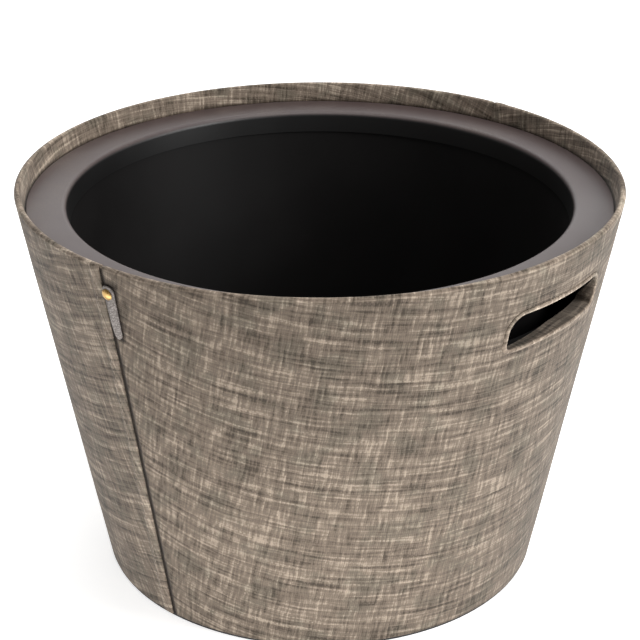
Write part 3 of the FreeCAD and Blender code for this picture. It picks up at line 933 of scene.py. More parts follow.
def grow(name: str, seed_mesh: Mesh, tree: Tree, values: dict[str, Any]) -> Piece:
    """Runs a geometry tree on a mesh and keeps the result as a plain mesh.

    Args:
        name: The piece's name.
        seed_mesh: What the tree starts from.
        tree: The geometry tree.
        values: Its inputs by name.

    Returns:
        The finished object, with no modifier left on it.
    """
    source = add_object(name + "_source", seed_mesh)
    modifier = source.modifiers.new(tree.name, "NODES")
    modifier.node_group = tree
    for item in tree.interface.items_tree:
        if item.in_out == "INPUT" and item.name in values:
            modifier[item.identifier] = values[item.name]
    view = bpy.context.evaluated_depsgraph_get()
    mesh = bpy.data.meshes.new_from_object(source.evaluated_get(view), depsgraph=view)
    mesh.name = name
    bpy.data.objects.remove(source)
    bpy.data.meshes.remove(seed_mesh)
    return add_object(name, mesh)


def turn_section(name: str, section: Sequence[Pair], finish: Finish, segments: int) -> Piece:
    """Turns a closed section about the basket's axis.

    Args:
        name: The piece's name.
        section: Radius and height of each corner, in order.
        finish: Its finish.
        segments: Steps round the axis.

    Returns:
        The closed, smooth-shaded piece.
    """
    points = [(radius, 0.0, height) for radius, height in section]
    values = {"Segments": segments, "Merge Distance": MERGE, "Material": finish.material()}
    piece = grow(name, mesh_of(name + "_section", points, []), turned_ring(), values)
    settle(piece.data)
    return piece


def arc(centre: Pair, radius: float, start: float, end: float, steps: int) -> list[Pair]:
    """Points along an arc in a section, from one angle in degrees to another, both ends included."""
    turns = [math.radians(start + (end - start) * step / steps) for step in range(steps + 1)]
    return [(centre[0] + radius * math.cos(turn), centre[1] + radius * math.sin(turn)) for turn in turns]


def write_marks(mesh: Mesh, name: str, values: Sequence[float]) -> None:
    """Keeps a value at each of a mesh's points, for its material to read."""
    mesh.attributes.new(name, "FLOAT", "POINT").data.foreach_set("value", values)


def polar(radius: float, azimuth: float, z: float) -> Vector:
    """The point at a radius, an azimuth and a height."""
    return Vector((radius * math.cos(azimuth), radius * math.sin(azimuth), z))


# ---------------------------------------------------------------------------------------------
# The basket
# ---------------------------------------------------------------------------------------------


@dataclass(frozen=True)
class BasketForm:
    """The tapered wall that every soft piece is laid on.

    Attributes:
        base_radius: Radius of the cloth's outside at floor level.
        slope: How much the radius grows for each metre of height.
        foot: Height of the cloth's lower edge.
        top: Height of the rim's crown.
        wall: Level thickness of the whole wall, cloth to cloth.
        cloth: Thickness of the cloth.
    """

    base_radius: float
    slope: float
    foot: float
    top: float
    wall: float = 5.2 * MM
    cloth: float = 1.0 * MM

    @classmethod
    def from_frame(cls) -> "BasketForm":
        """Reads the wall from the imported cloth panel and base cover.

        Returns:
            The form.
        """
        low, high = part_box("woven_panel_right")
        cover_gap = 0.4 * MM
        base_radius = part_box("base_cover")[1][0] + cover_gap
        slope = (high[0] - base_radius) / (high[2] - cls.wall / 2)
        return cls(base_radius, slope, low[2], high[2])

    @property
    def lean(self) -> float:
        """The wall's angle from upright."""
        return math.atan(self.slope)

    def radius(self, z: float) -> float:
        """Radius of the cloth's outside at a height."""
        return self.base_radius + self.slope * z

    def beside_front_seam(self, x: float, z: float, out: float) -> Vector:
        """The point at a level distance to the front seam's right, and at one outside the cloth's face."""
        radius = self.radius(z) + out
        return Vector((x, -math.sqrt(radius * radius - x * x), z))

    def slant(self, z: float) -> float:
        """Distance down the wall from the cone's point to a height."""
        return self.radius(z) / math.sin(self.lean)

    def flat(self, turn: float, slant: float) -> Pair:
        """Where the point at an azimuth from a panel's middle lies across and along the flat cloth."""
        angle = turn * math.sin(self.lean)
        return (slant * math.sin(angle), slant * math.cos(angle))


@dataclass(frozen=True)
class Station:
    """One level of the cloth's path from the foot, over the rim and down inside.

    Attributes:
        radius: Distance of the visible face from the axis.
        z: Its height.
        slant: Distance along the cloth from the cone's point.
        facing: Outward direction as radius and height.
        hem: How much of the hem's lift is left here.
        on_wall: Whether it lies on the outside of the wall.
    """

    radius: float
    z: float
    slant: float
    facing: Pair
    hem: float
    on_wall: bool


@dataclass(frozen=True)
class EdgeStep:
    """One column of cloth beside a seam.

    Attributes:
        face: Distance of the visible face from the seam.
        lift: How far it stands proud of the cloth.
        back: Distance of the hidden face from the seam.
        painted_shade: How much painted shade darkens it, in the seam's gap and under the fold.
        rubbed: How much paler it is made by painted highlight, with some edge wear.
    """

    face: float
    lift: float
    back: float
    painted_shade: float = 0.0
    rubbed: float = 0.0


def edge_steps(*rows: Sequence[float]) -> tuple[EdgeStep, ...]:
    """Columns from rows of face, lift and back in millimetres, then painted shade and painted highlight where
    they count.
    """
    return tuple(EdgeStep(face * MM, lift * MM, back * MM, *marks) for face, lift, back, *marks in rows)


TAB_SIDE = edge_steps(*((at, 0.0, at) for at in (7.0, 8.6, 10.2, 11.8, 13.4, 15.0, 17.0, 19.5, 22.0, 25.0)))
# Painted shade in the seam's gap and under the hem's fold; a painted highlight, with some edge wear, on the
# hem's crown.
PLAIN_EDGE = edge_steps(
    (0.1, -0.76, 0.1, 1.0),
    (1.0, -0.76, 1.0, 1.0),
    (2.0, -0.68, 2.0, 1.0),
    (2.9, -0.45, 2.9, 0.9),
    (3.7, -0.18, 3.7, 0.6),
    (4.6, -0.04, 4.6, 0.25),
    (5.8, 0.0, 5.8, 0.06),
) + TAB_SIDE
HEM_EDGE = edge_steps(
    (13.5, 0.0, 13.5),
    (12.0, 0.03, 12.0, 0.1),
    (11.0, 0.15, 11.0, 0.2),
    (10.3, 0.45, 10.3, 0.0, 0.15),
    (9.6, 0.72, 9.6, 0.0, 0.25),
    (8.6, 0.85, 8.6, 0.0, 0.25),
    (6.6, 0.90, 6.6, 0.0, 0.25),
    (4.2, 0.96, 4.4, 0.0, 0.3),
    (2.2, 1.02, 2.8, 0.0, 0.4),
    (1.0, 1.00, 1.9, 0.0, 0.4),
    (0.25, 0.82, 1.4, 0.0, 0.25),
    (-0.20, 0.50, 1.0),
    (-0.35, 0.12, 0.7),
    (-0.20, -0.22, 0.5, 0.6),
    (0.10, -0.50, 0.3, 1.0),
)


@dataclass(frozen=True)
class Spot:
    """One point of a panel's grid.

    Attributes:
        station: Its level.
        face: Azimuth of the visible face from the panel's middle.
        back: Azimuth of the hidden face.
        lift: How far the visible face stands proud.
        painted_shade: How much painted shade darkens it.
        rubbed: How much paler painted highlight makes it.
    """

    station: Station
    face: float
    back: float
    lift: float
    painted_shade: float
    rubbed: float


@dataclass(frozen=True)
class HandSlot:
    """The rounded opening that the hand goes through, seen straight from the side.

    Attributes:
        half_width: Half its width along Y.
        low: Height of its sill.
        high: Height of its top edge.
        top_corner: Radius of the upper corners.
        sill_corner: Radius of the lower corners.
    """

    half_width: float
    low: float
    high: float
    top_corner: float = 13.0 * MM
    sill_corner: float = 5.0 * MM

    @classmethod
    def from_frame(cls) -> "HandSlot":
        """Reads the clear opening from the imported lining, which is one cloth thicker all round.

        Returns:
            The opening.
        """
        low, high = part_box("slot_lining_right")
        cloth = BasketForm.cloth
        return cls(high[1] - cloth, low[2] + cloth, high[2] - cloth)

    def outline(self, straight: float = 3.0 * MM, bend: float = 9.0) -> list[Edge]:
        """Points round the opening with the direction away from it.

        Args:
            straight: Longest stretch on the sides.
            bend: Degrees of each step in the corners.

        Returns:
            Pairs of a point and its outward direction, as Y and Z, counter-clockwise.
        """
        steps = round(90.0 / bend)
        loop: list[Edge] = []
        for number, (across, upright) in enumerate(((1, 1), (-1, 1), (-1, -1), (1, -1))):
            radius = self.top_corner if upright > 0 else self.sill_corner
            middle_y = across * (self.half_width - radius)
            middle_z = self.high - radius if upright > 0 else self.low + radius
            for step in range(steps + 1):
                angle = math.radians(90.0 * number + 90.0 * step / steps)
                away = (math.cos(angle), math.sin(angle))
                point = (middle_y + radius * away[0], middle_z + radius * away[1])
                if step == 0 and loop:
                    loop += self.between(loop[-1], (point, away), straight)
                loop.append((point, away))
        return loop + self.between(loop[-1], loop[0], straight)

    @staticmethod
    def between(first: Edge, last: Edge, straight: float) -> list[Edge]:
        """Points inside one straight side.

        Args:
            first: The corner point that it starts from.
            last: The corner point that it runs to.
            straight: Longest stretch.

        Returns:
            The points between the two, without them.
        """
        ((y0, z0), away), ((y1, z1), _) = first, last
        count = max(1, math.ceil(math.hypot(y1 - y0, z1 - z0) / straight))
        shares = [step / count for step in range(1, count)]
        return [((y0 + (y1 - y0) * share, z0 + (z1 - z0) * share), away) for share in shares]

    def distance(self, y: float, z: float) -> float:
        """How far a point is outside the opening, negative within.

        Args:
            y: Its place along Y.
            z: Its height.

        Returns:
            The distance.
        """
        middle = (self.low + self.high) / 2
        corner = self.top_corner if z > middle else self.sill_corner
        across = abs(y) - self.half_width + corner
        upright = abs(z - middle) - (self.high - self.low) / 2 + corner
        return math.hypot(max(across, 0.0), max(upright, 0.0)) + min(max(across, upright), 0.0) - corner

    def snap(self, y: float, z: float, gap: float) -> Pair:
        """Moves a point onto the line that lies a gap outside the opening.

        Args:
            y: Its place along Y.
            z: Its height.
            gap: How far outside the opening the line is.

        Returns:
            The moved point.
        """
        step, rounds, flattest = 0.05 * MM, 4, 0.2
        for _ in range(rounds):
            here = self.distance(y, z)
            away_y = (self.distance(y + step, z) - here) / step
            away_z = (self.distance(y, z + step) - here) / step
            size = max(away_y * away_y + away_z * away_z, flattest)
            y -= (here - gap) * away_y / size
            z -= (here - gap) * away_z / size
        return (y, z)


@dataclass(frozen=True)
class ClothPanel:
    """Half of the cover: one flat cut, wrapped round, turned over the rim and folded into a hem.

    Attributes:
        form: The wall.
        slot: The opening at the panel's middle.
        side: Which half it is.
        finish: Its cloth.
        tab: The leather tab that hangs in front of the right half.
        ring_line: Height of the insert's ring, where the cloth is darkened with painted shade.
        turn_in: Height that the cloth reaches down to inside.
        hem: Width of the folded hem.
        hole_gap: How far the cut hole stands back from the opening, under the lining's lip.
        hem_fade: How fast the hem flattens over the rim.
        wall_rows: Steps up the wall.
        rim_rows: Steps over the rim.
        inner_rows: Steps down inside.
        columns: Steps between the two edges.
    """

    form: BasketForm
    slot: HandSlot
    side: Side
    finish: WovenCloth
    tab: "LeatherTab"
    ring_line: float
    turn_in: float
    hem: float = 10.0 * MM
    hole_gap: float = 1.2 * MM
    hem_fade: float = 1.6
    wall_rows: int = 112
    rim_rows: int = 12
    inner_rows: int = 9
    columns: int = 190

    def stations(self) -> list[Station]:
        """The cloth's path from the foot, over the rim and down inside.

        Returns:
            Its levels in order.
        """
        form, lean = self.form, self.form.lean
        crown = form.wall / 2 * math.cos(lean)
        rim_z = form.top - crown
        rim_radius = form.radius(rim_z) - form.wall / 2
        wall_end = rim_z - crown * math.sin(lean)
        out = (math.cos(lean), -math.sin(lean))
        path = []
        for row in range(self.wall_rows + 1):
            z = form.foot + (wall_end - form.foot) * row / self.wall_rows
            path.append(Station(form.radius(z), z, form.slant(z), out, 1.0, True))
        slant = path[-1].slant
        for step in range(1, self.rim_rows + 1):
            share = step / self.rim_rows
            angle = -lean + math.pi * share
            facing = (math.cos(angle), math.sin(angle))
            radius, z = rim_radius + crown * facing[0], rim_z + crown * facing[1]
            hem = max(0.0, 1 - self.hem_fade * share)
            path.append(Station(radius, z, slant + crown * math.pi * share, facing, hem, False))
        last = path[-1]
        depth = (last.z - self.turn_in) / math.cos(lean)
        for row in range(1, self.inner_rows + 1):
            down = depth * row / self.inner_rows
            radius, z = last.radius - down * math.sin(lean), last.z - down * math.cos(lean)
            path.append(Station(radius, z, last.slant + down, last.facing, 0.0, False))
        return path

    def edge_columns(self) -> list[tuple[float, EdgeStep | None]]:
        """Columns from the plain edge to the hem: a share of the way across, or a step of an edge."""
        middle = [((number + 1) / (self.columns + 1), None) for number in range(self.columns)]
        return [(0.0, step) for step in PLAIN_EDGE] + middle + [(1.0, step) for step in HEM_EDGE]

    def turns(self, radius: float, share: float, step: EdgeStep | None, hem: float) -> Pair:
        """Azimuths of a column's two faces from the panel's middle.

        Args:
            radius: Radius of the row.
            share: How far across the column is.
            step: The edge step, if it is one.
            hem: How much of the hem is left at this row; with none, its columns lie flat side by side.

        Returns:
            Azimuth of the visible face and of the hidden one.
        """
        if step is None:
            first = PLAIN_EDGE[-1].face / radius - QUARTER
            last = QUARTER - HEM_EDGE[0].face / radius
            turn = first + (last - first) * share
            return (turn, turn)
        if share < 0.5:
            return (step.face / radius - QUARTER, step.back / radius - QUARTER)
        seam_gap = 0.1 * MM
        level = seam_gap + HEM_EDGE[0].face * (1 - HEM_EDGE.index(step) / (len(HEM_EDGE) - 1))
        face, back = (level + (place - level) * hem for place in (step.face, step.back))
        return (QUARTER - face / radius, QUARTER - back / radius)

    def ripple(self, turn: float, z: float) -> float:
        """The slight unevenness of glued cloth at a place on the wall.

        Args:
            turn: Azimuth from the panel's middle.
            z: Height.

        Returns:
            How far the cloth stands up or in.
        """
        azimuth = turn + self.side.value
        slow = noise.noise(polar(2.2, azimuth, z * 9.0))
        quick = noise.noise(polar(9.0, azimuth, z * 36.0 + 40.0))
        return 0.22 * MM * slow + 0.10 * MM * quick

    def face_point(self, station: Station, turn: float, lift: float) -> Vector:
        """The point of a level at an azimuth from the panel's middle, standing proud by a lift."""
        radius = station.radius + lift * station.facing[0]
        return polar(radius, turn + self.side.value, station.z + lift * station.facing[1])

    def tab_shadow(self, turn: float, z: float) -> float:
        """How much painted shadow the hanging tab casts on the cloth round it.

        Args:
            turn: Azimuth from the panel's middle.
            z: Height.

        Returns:
            The painted shadow, from 0 to 1.
        """
        if self.side is not Side.RIGHT or turn > -1.0:
            return 0.0
        near, far = 2.4 * MM, 6.0 * MM
        across = (turn + QUARTER) * self.form.radius(z)
        beside = max(across - self.tab.edges(z)[1], 0.0)
        away = math.hypot(beside, max(z - self.tab.top, 0.0, self.tab.tip - z))
        return 0.75 * math.exp(-((away / near) ** 2)) + 0.25 * math.exp(-away / far)

    def spots(self) -> tuple[list[Spot], int]:
        """Works out the panel's grid.

        Returns:
            Its points, row by row from the foot, and how many a row has.
        """
        # The band inside the rim, and the rim's crown where it faces up, get painted highlight.
        inner_highlight, ring_shade, line_fade, crown_end = 0.85, 0.9, 1.3 * MM, 0.35
        spots = []
        columns = self.edge_columns()
        for station in self.stations():
            crown = max(0.0, station.facing[1])
            inside = not station.on_wall and crown < crown_end
            above = max(0.0, station.z - self.ring_line)
            # Painted shade on the inner band just above the insert's ring.
            line = ring_shade * math.exp(-above / line_fade) if inside else 0.0
            for share, step in columns:
                face, back = self.turns(station.radius, share, step, station.hem)
                edge = step or EdgeStep(0.0, 0.0, 0.0)
                hem = station.hem if share > 0.5 else 1.0
                painted_shade = max(edge.painted_shade * (1.0 if station.on_wall else station.hem), line)
                # Painted shadow round the tab.
                if station.on_wall:
                    painted_shade = max(painted_shade, self.tab_shadow(face, station.z))
                # Painted highlight on the rim's crown, the inner band and the hem's crown.
                rubbed = max(edge.rubbed * hem, crown, inner_highlight if inside else 0.0)
                spots.append(Spot(station, face, back, edge.lift * hem, min(1.0, painted_shade), rubbed))
        return spots, len(columns)

    def build(self) -> Piece:
        """Builds the closed panel with its map of the flat cloth, its painted shade and its painted
        highlights.

        Returns:
            The finished piece.
        """
        spots, wide = self.spots()
        cells, spots = self.cut_hole(spots, wide)
        points = []
        backs = []
        for spot in spots:
            ripple = self.ripple(spot.face, spot.station.z) if spot.station.on_wall else 0.0
            points.append(self.face_point(spot.station, spot.face, spot.lift + ripple))
            backs.append(self.face_point(spot.station, spot.back, -self.form.cloth))
        mesh = self.shell(points, backs, cells)
        self.lay_flat(mesh, spots)
        settle(mesh, 55.0)
        return add_object("cloth_panel_" + self.side.word, mesh)

    def cut_hole(self, spots: list[Spot], wide: int) -> tuple[list[Cell], list[Spot]]:
        """Leaves out the cells over the opening and moves the hole's border onto its outline.

        Args:
            spots: The grid's points.
            wide: How many a row has.

        Returns:
            The kept cells, and the points with the hole's border moved.
        """
        kept: list[Cell] = []
        inside: set[int] = set()
        used: set[int] = set()
        for first in range(len(spots) - wide):
            if first % wide == wide - 1:
                continue
            cell = (first, first + 1, first + wide + 1, first + wide)
            near, far = spots[first], spots[first + wide + 1]
            level = (near.station.z + far.station.z) / 2
            turn = (near.face + far.face) / 2
            y = self.form.radius(level) * math.sin(turn)
            if far.station.on_wall and abs(turn) < 1.0 and self.slot.distance(y, level) < self.hole_gap:
                inside.update(cell)
                continue
            kept.append(cell)
            used.update(cell)
        moved = list(spots)
        for number in inside & used:
            spot = spots[number]
            y, z = self.slot.snap(spot.station.radius * math.sin(spot.face), spot.station.z, self.hole_gap)
            radius = self.form.radius(z)
            turn = math.asin(y / radius)
            level = replace(spot.station, radius=radius, z=z, slant=self.form.slant(z))
            moved[number] = replace(spot, station=level, face=turn, back=turn)
        return kept, moved

    def shell(self, points: list[Vector], backs: list[Vector], cells: list[Cell]) -> Mesh:
        """Closes the visible and hidden faces into one shell along every border.

        Args:
            points: The visible face's points.
            backs: The hidden face's points.
            cells: The visible face's cells.

        Returns:
            The mesh.
        """
        shift = len(points)
        borders: dict[tuple[int, int], None] = {}
        for cell in cells:
            for first, second in zip(cell, cell[1:] + cell[:1]):
                if (second, first) in borders:
                    del borders[(second, first)]
                else:
                    borders[(first, second)] = None
        faces = list(cells)
        faces += [tuple(vertex + shift for vertex in reversed(cell)) for cell in cells]
        faces += [(second, first, first + shift, second + shift) for first, second in borders]
        return mesh_of("cloth_panel_" + self.side.word, points + backs, faces)

    def lay_flat(self, mesh: Mesh, spots: list[Spot]) -> None:
        """Writes the map of the flat cloth, the painted shade and the painted highlights.

        Args:
            mesh: The panel's mesh.
            spots: The grid's points, in the mesh's order.
        """
        flats = [self.form.flat(spot.face, spot.station.slant) for spot in spots]
        layer = mesh.uv_layers.new(name=CLOTH_MAP)
        for loop in mesh.loops:
            layer.data[loop.index].uv = flats[loop.vertex_index % len(spots)]
        write_marks(mesh, SHADE_MARK, [spot.painted_shade for spot in spots] * 2)
        write_marks(mesh, HIGHLIGHT_MARK, [spot.rubbed for spot in spots] * 2)

    def flat_cut(self) -> tuple[Pair, float]:
        """Size of the flat cut's box and its area, seam allowance included.

        Returns:
            Width and length of the box, and the area.
        """
        stations = self.stations()
        inner, outer = stations[0].slant, stations[-1].slant
        half = QUARTER * math.sin(self.form.lean)
        width = 2 * outer * math.sin(half) + self.hem
        length = outer - inner * math.cos(half)
        area = half * (outer * outer - inner * inner) + self.hem * (outer - inner)
        slot_area = 2 * self.slot.half_width * (self.slot.high - self.slot.low)
        return (width, length), area - slot_area

    def install(self) -> None:
        node, core = "woven_panel_" + self.side.word, "shell_core_" + self.side.word
        piece = ride_as(self.build(), self.finish, Body.BASKET, "woven_cloth", node)
        flat, area = self.flat_cut()


@dataclass(frozen=True)
class SlotLining:
    """The cloth strip that lines a hand slot and rolls out over its edge as a lip.

    Attributes:
        form: The wall.
        slot: The opening.
        side: Which half it is on.
        sill_depth: Level depth that the strip reaches to on the sill.
        end_depth: Level depth that it reaches to at the sill's end beside the hem.
        top_depth: Level depth that it reaches to along the top.
        lip: Width of the rolled lip.
        proud: How far the lip stands out of the wall.
    """

    form: BasketForm
    slot: HandSlot
    side: Side
    sill_depth: float = 13.0 * MM
    end_depth: float = 4.0 * MM
    top_depth: float = 2.2 * MM
    lip: float = 4.0 * MM
    proud: float = 1.6 * MM

    def section(self, depth: float) -> list[Pair]:
        """The strip's closed section where it reaches to a depth in the wall.

        Args:
            depth: How deep it reaches.

        Returns:
            Growth from the opening and depth in the wall of each corner.
        """
        rows, turns, start = 6, 12, 1.4 * MM
        steps = [start + (depth - start) * row / rows for row in range(rows + 1)]
        sleeve = [(0.0, step) for step in reversed(steps)]
        crown = self.lip / 2
        angles = [math.pi * turn / turns for turn in range(turns + 1)]
        roll = [
            (crown - crown * math.cos(angle), 0.1 * MM - self.proud * math.sin(angle)) for angle in angles
        ]
        under = [(self.lip - 0.5 * MM, 0.35 * MM), (self.lip / 2, -0.1 * MM), (1.1 * MM, 0.2 * MM)]
        return sleeve + roll + under + [(self.form.cloth, step) for step in steps]

    def depth_at(self, y: float, z: float) -> float:
        """How deep the strip reaches: all the way on the sill, less along the top and at one end.

        Args:
            y: Its place along Y.
            z: Its height.

        Returns:
            The level depth in the wall.
        """
        up = clamp((z - self.slot.low) / (self.slot.high - self.slot.low) * 1.6 - 0.2)
        along = clamp((y + self.slot.half_width) / (1.1 * self.slot.half_width))
        sill = self.end_depth + (self.sill_depth - self.end_depth) * along
        return sill + (self.top_depth - sill) * up

    def build(self) -> Piece:
        """Sweeps the section round the opening.

        Returns:
            The closed piece.
        """
        loop = self.slot.outline()
        sections = [self.section(self.depth_at(*point)) for point, _ in loop]
        sign = 1.0 if self.side is Side.RIGHT else -1.0
        points = []
        for ((y0, z0), away), section in zip(loop, sections):
            for growth, depth in section:
                y, z = y0 + away[0] * growth, z0 + away[1] * growth
                radius = self.form.radius(z) - depth
                points.append(Vector((sign * math.sqrt(radius * radius - y * y), sign * y, z)))
        tall = len(sections[0])
        faces, flats = [], []
        right = 0.0
        for column, section in enumerate(sections):
            following = (column + 1) % len(loop)
            left, near = right, 0.0
            right += math.dist(loop[column][0], loop[following][0])
            first, second = column * tall, following * tall
            for row in range(tall):
                above = (row + 1) % tall
                far = near + math.dist(section[row], section[above])
                faces.append((first + row, second + row, second + above, first + above))
                flats += [(left, near), (right, near), (right, far), (left, far)]
                near = far
        mesh = mesh_of("slot_lining_" + self.side.word, points, faces)
        layer = mesh.uv_layers.new(name=CLOTH_MAP)
        for index, place in enumerate(flats):
            layer.data[index].uv = place
        # Painted highlight: the lip is made paler the further it stands out of the wall.
        rubbed = [clamp(-depth / self.proud + 0.2) for section in sections for _, depth in section]
        write_marks(mesh, HIGHLIGHT_MARK, rubbed)
        settle(mesh, 60.0)
        return add_object("slot_edging_" + self.side.word, mesh)

    def flat_cut(self) -> Pair:
        """Measures the strip as it was cut.

        Returns:
            Its length round the opening and its width, both flat.
        """
        loop = [point for point, _ in self.slot.outline()]
        steps = [math.dist(first, second) for first, second in zip(loop, loop[1:] + loop[:1])]
        round_it = sum(steps)
        roll = QUARTER * (self.lip / 2 + self.proud)
        mean_depth = sum(step * self.depth_at(*point) for step, point in zip(steps, loop)) / round_it
        return (round_it + math.pi * self.lip, mean_depth + roll)

    def install(self) -> None:
        piece = ride_as(self.build(), EDGING, Body.BASKET, "woven_cloth", "slot_lining_" + self.side.word)
        self.flat_cut()


@dataclass(frozen=True)
class HemStitching:
    """The running stitch that holds a hem's fold.

    Attributes:
        form: The wall.
        seam: The seam that it runs beside.
        inset: Distance of the stitches from the fold.
        sunk: How far their middle lies above the cloth's plain face.
    """

    form: BasketForm
    seam: Seam
    inset: float = 7.6 * MM
    sunk: float = 0.88 * MM

    def install(self) -> None:
        """Lays the stitches up the seam, a little short of both ends."""
        name = "hem_stitches_" + self.seam.word
        foot, head = self.form.foot + 7.0 * MM, self.form.top - 9.0 * MM
        steps = 40
        path = []
        for step in range(steps + 1):
            z = foot + (head - foot) * step / steps
            radius = self.form.radius(z)
            path.append(polar(radius + self.sunk, self.seam.value - self.inset / radius, z))
        mesh = mesh_of(name + "_path", path, [], [(step, step + 1) for step in range(steps)])
        values = {
            "Spacing": 5.2 * MM,
            "Stitch Length": 3.9 * MM,
            "Yarn Thickness": 0.62 * MM,
            "Tilt": 0.05,
            "Seed": 4 if self.seam is Seam.FRONT else 9,
            "Material": SEWING_YARN.material(),
        }
        piece = grow(name, mesh, stitch_row(), values)
        settle(piece.data, 80.0)
        ride_as(piece, SEWING_YARN, Body.BASKET, "woven_cloth")


@dataclass(frozen=True)
class LeatherTab:
    """The soft leather pull that hangs beside the front seam.

    Attributes:
        form: The wall.
        left: Its left edge at the top.
        right: Its right edge at the top.
        top: Height of its upper end.
        tip: Height of its lower end.
        taper: How much each side draws in at the tip.
        gap: Space between the cloth and its back.
        thickness: Thickness of the leather at its edge.
        crown: How much more it swells along its middle.
    """

    form: BasketForm
    left: float
    right: float
    top: float
    tip: float
    taper: Pair = (3.6 * MM, 0.6 * MM)
    gap: float = 0.1 * MM
    thickness: float = 1.9 * MM
    crown: float = 2.4 * MM

    @classmethod
    def from_frame(cls, form: BasketForm) -> "LeatherTab":
        """Reads the tab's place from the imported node.

        Args:
            form: The wall.

        Returns:
            The tab.
        """
        low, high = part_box("leather_tab")
        pressed = 2.6 * MM
        return cls(form, low[0], high[0] - pressed, high[2] - pressed / 2, low[2])

    def edges(self, z: float) -> Pair:
        """Level distances of its two sides from the seam at a height."""
        share = clamp((self.top - z) / (self.top - self.tip))
        return (self.left + self.taper[0] * share, self.right - self.taper[1] * share)

    def rows(self) -> list[tuple[float, float, float]]:
        """Divides the tab from the top down, closer together in its corners.

        Returns:
            Height, corner draw-in and edge roundness of each row.
        """
        length = self.top - self.tip
        bend, round_edge, corner_rows, middle_rows = 5.0 * MM, 1.0 * MM, 9, 26
        steps = [bend * (1 - math.cos(QUARTER * number / corner_rows)) for number in range(corner_rows + 1)]
        middle = [bend + (length - 2 * bend) * number / middle_rows for number in range(1, middle_rows)]
        rows = []
        for down in steps + middle + [length - step for step in reversed(steps)]:
            near = min(down, length - down)
            corner = bend - math.sqrt(max(0.0, bend * bend - max(0.0, bend - near) ** 2))
            edge = math.sqrt(max(0.0, 1 - max(0.0, 1 - near / round_edge) ** 2))
            rows.append((self.top - down, corner, edge))
        return rows

    def build(self) -> Piece:
        """Sweeps a cushioned section down the tab.

        Returns:
            The closed piece.
        """
        around, swell_start, swell_run = 16, 0.18, 0.82
        level = self.gap + self.thickness / 2
        points, pressed = [], []
        rows = self.rows()
        for z, corner, edge in rows:
            share = (self.top - z) / (self.top - self.tip)
            left, right = self.edges(z)
            middle, half = (left + right) / 2, (right - left) / 2 - corner
            wave = math.sin(math.pi * max(0.0, share - swell_start) / swell_run)
            swell = self.crown * max(0.0, wave) ** 0.7
            for number in range(around + 1):
                turn = math.pi * number / around
                across = -math.cos(turn)
                dome = math.sin(turn) ** 0.55 * self.thickness / 2
                bulge = swell * max(0.0, math.cos(QUARTER * across)) ** 1.3
                lift = level + edge * (dome + bulge)
                points.append(self.form.beside_front_seam(middle + half * across, z, lift))
                # Painted shade on the tab's left side, away from the key light, and on its back.
                pressed.append(clamp(-2.6 * across - 0.2) * min(1.0, 5.0 * share))
            for number in range(1, around):
                turn = math.pi * number / around
                under = math.sin(turn) ** 0.4 * self.thickness / 2
                x = middle + half * math.cos(turn)
                points.append(self.form.beside_front_seam(x, z, level - edge * under))
                pressed.append(1.0)
        count, last = 2 * around, (len(rows) - 1) * 2 * around
        faces: list[tuple[int, ...]] = []
        for row in range(0, last, count):
            for number in range(count):
                first, second = row + number, row + (number + 1) % count
                faces.append((first, second, second + count, first + count))
        faces.append(tuple(range(count)))
        faces.append(tuple(reversed(range(last, last + count))))
        mesh = mesh_of("leather_pull_tab", points, faces)
        write_marks(mesh, SHADE_MARK, pressed)
        settle(mesh, 70.0)
        return add_object("leather_pull_tab", mesh)

    def install(self) -> None:
        piece = ride_as(self.build(), TAB_HIDE, Body.BASKET, "grey_leather", "leather_tab")


@dataclass(frozen=True)
class RivetHead:
    """The domed brass head that pins the tab.

    Attributes:
        form: The wall.
        x: Its level distance to the right of the seam.
        z: Its height.
        radius: Radius of the head.
        seat: Height of its underside above the cloth.
        brim: Thickness of its edge.
        rise: How much the dome rises above the edge.
    """

    form: BasketForm
    x: float
    z: float
    radius: float
    seat: float = 2.1 * MM
    brim: float = 0.6 * MM
    rise: float = 1.7 * MM

    @classmethod
    def from_frame(cls, form: BasketForm) -> "RivetHead":
        """Reads the rivet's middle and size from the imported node."""
        low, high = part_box("tab_rivet")
        return cls(form, (low[0] + high[0]) / 2, (low[2] + high[2]) / 2, (high[0] - low[0]) / 2)

    def section(self) -> list[Pair]:
        """Draws the head and its shank as a closed section that touches the axis.

        Returns:
            Radius and height of each corner.
        """
        shank, bite = 1.7 * MM, 0.2 * MM
        ball = (self.radius**2 + self.rise**2) / (2 * self.rise)
        reach = math.degrees(math.asin((self.radius - 0.25 * MM) / ball))
        dome = arc((0.0, self.brim + self.rise - ball), ball, 90.0, 90.0 - reach, 12)
        edge = arc((self.radius - 0.3 * MM, self.brim / 2), self.brim / 2, 60.0, -90.0, 6)
        foot = -(self.seat - bite)
        corners = dome + edge + [(shank, 0.0), (shank, foot), (0.0, foot)]
        return [(max(0.0, radius), height) for radius, height in corners]

    def install(self) -> None:
        """Turns the head and seats it square to the leaning wall."""
        piece = turn_section("brass_rivet_head", self.section(), BRASS, 48)
        place = self.form.beside_front_seam(self.x, self.z, self.seat)
        away = polar(1.0, math.atan2(place.y, place.x), -self.form.slope).normalized()
        turn = away.to_track_quat("Z", "Y").to_matrix().to_4x4()
        piece.data.transform(Matrix.Translation(place) @ turn)
        ride_as(piece, BRASS, Body.BASKET, "brass", "tab_rivet")


# ---------------------------------------------------------------------------------------------
# The insert
# ---------------------------------------------------------------------------------------------


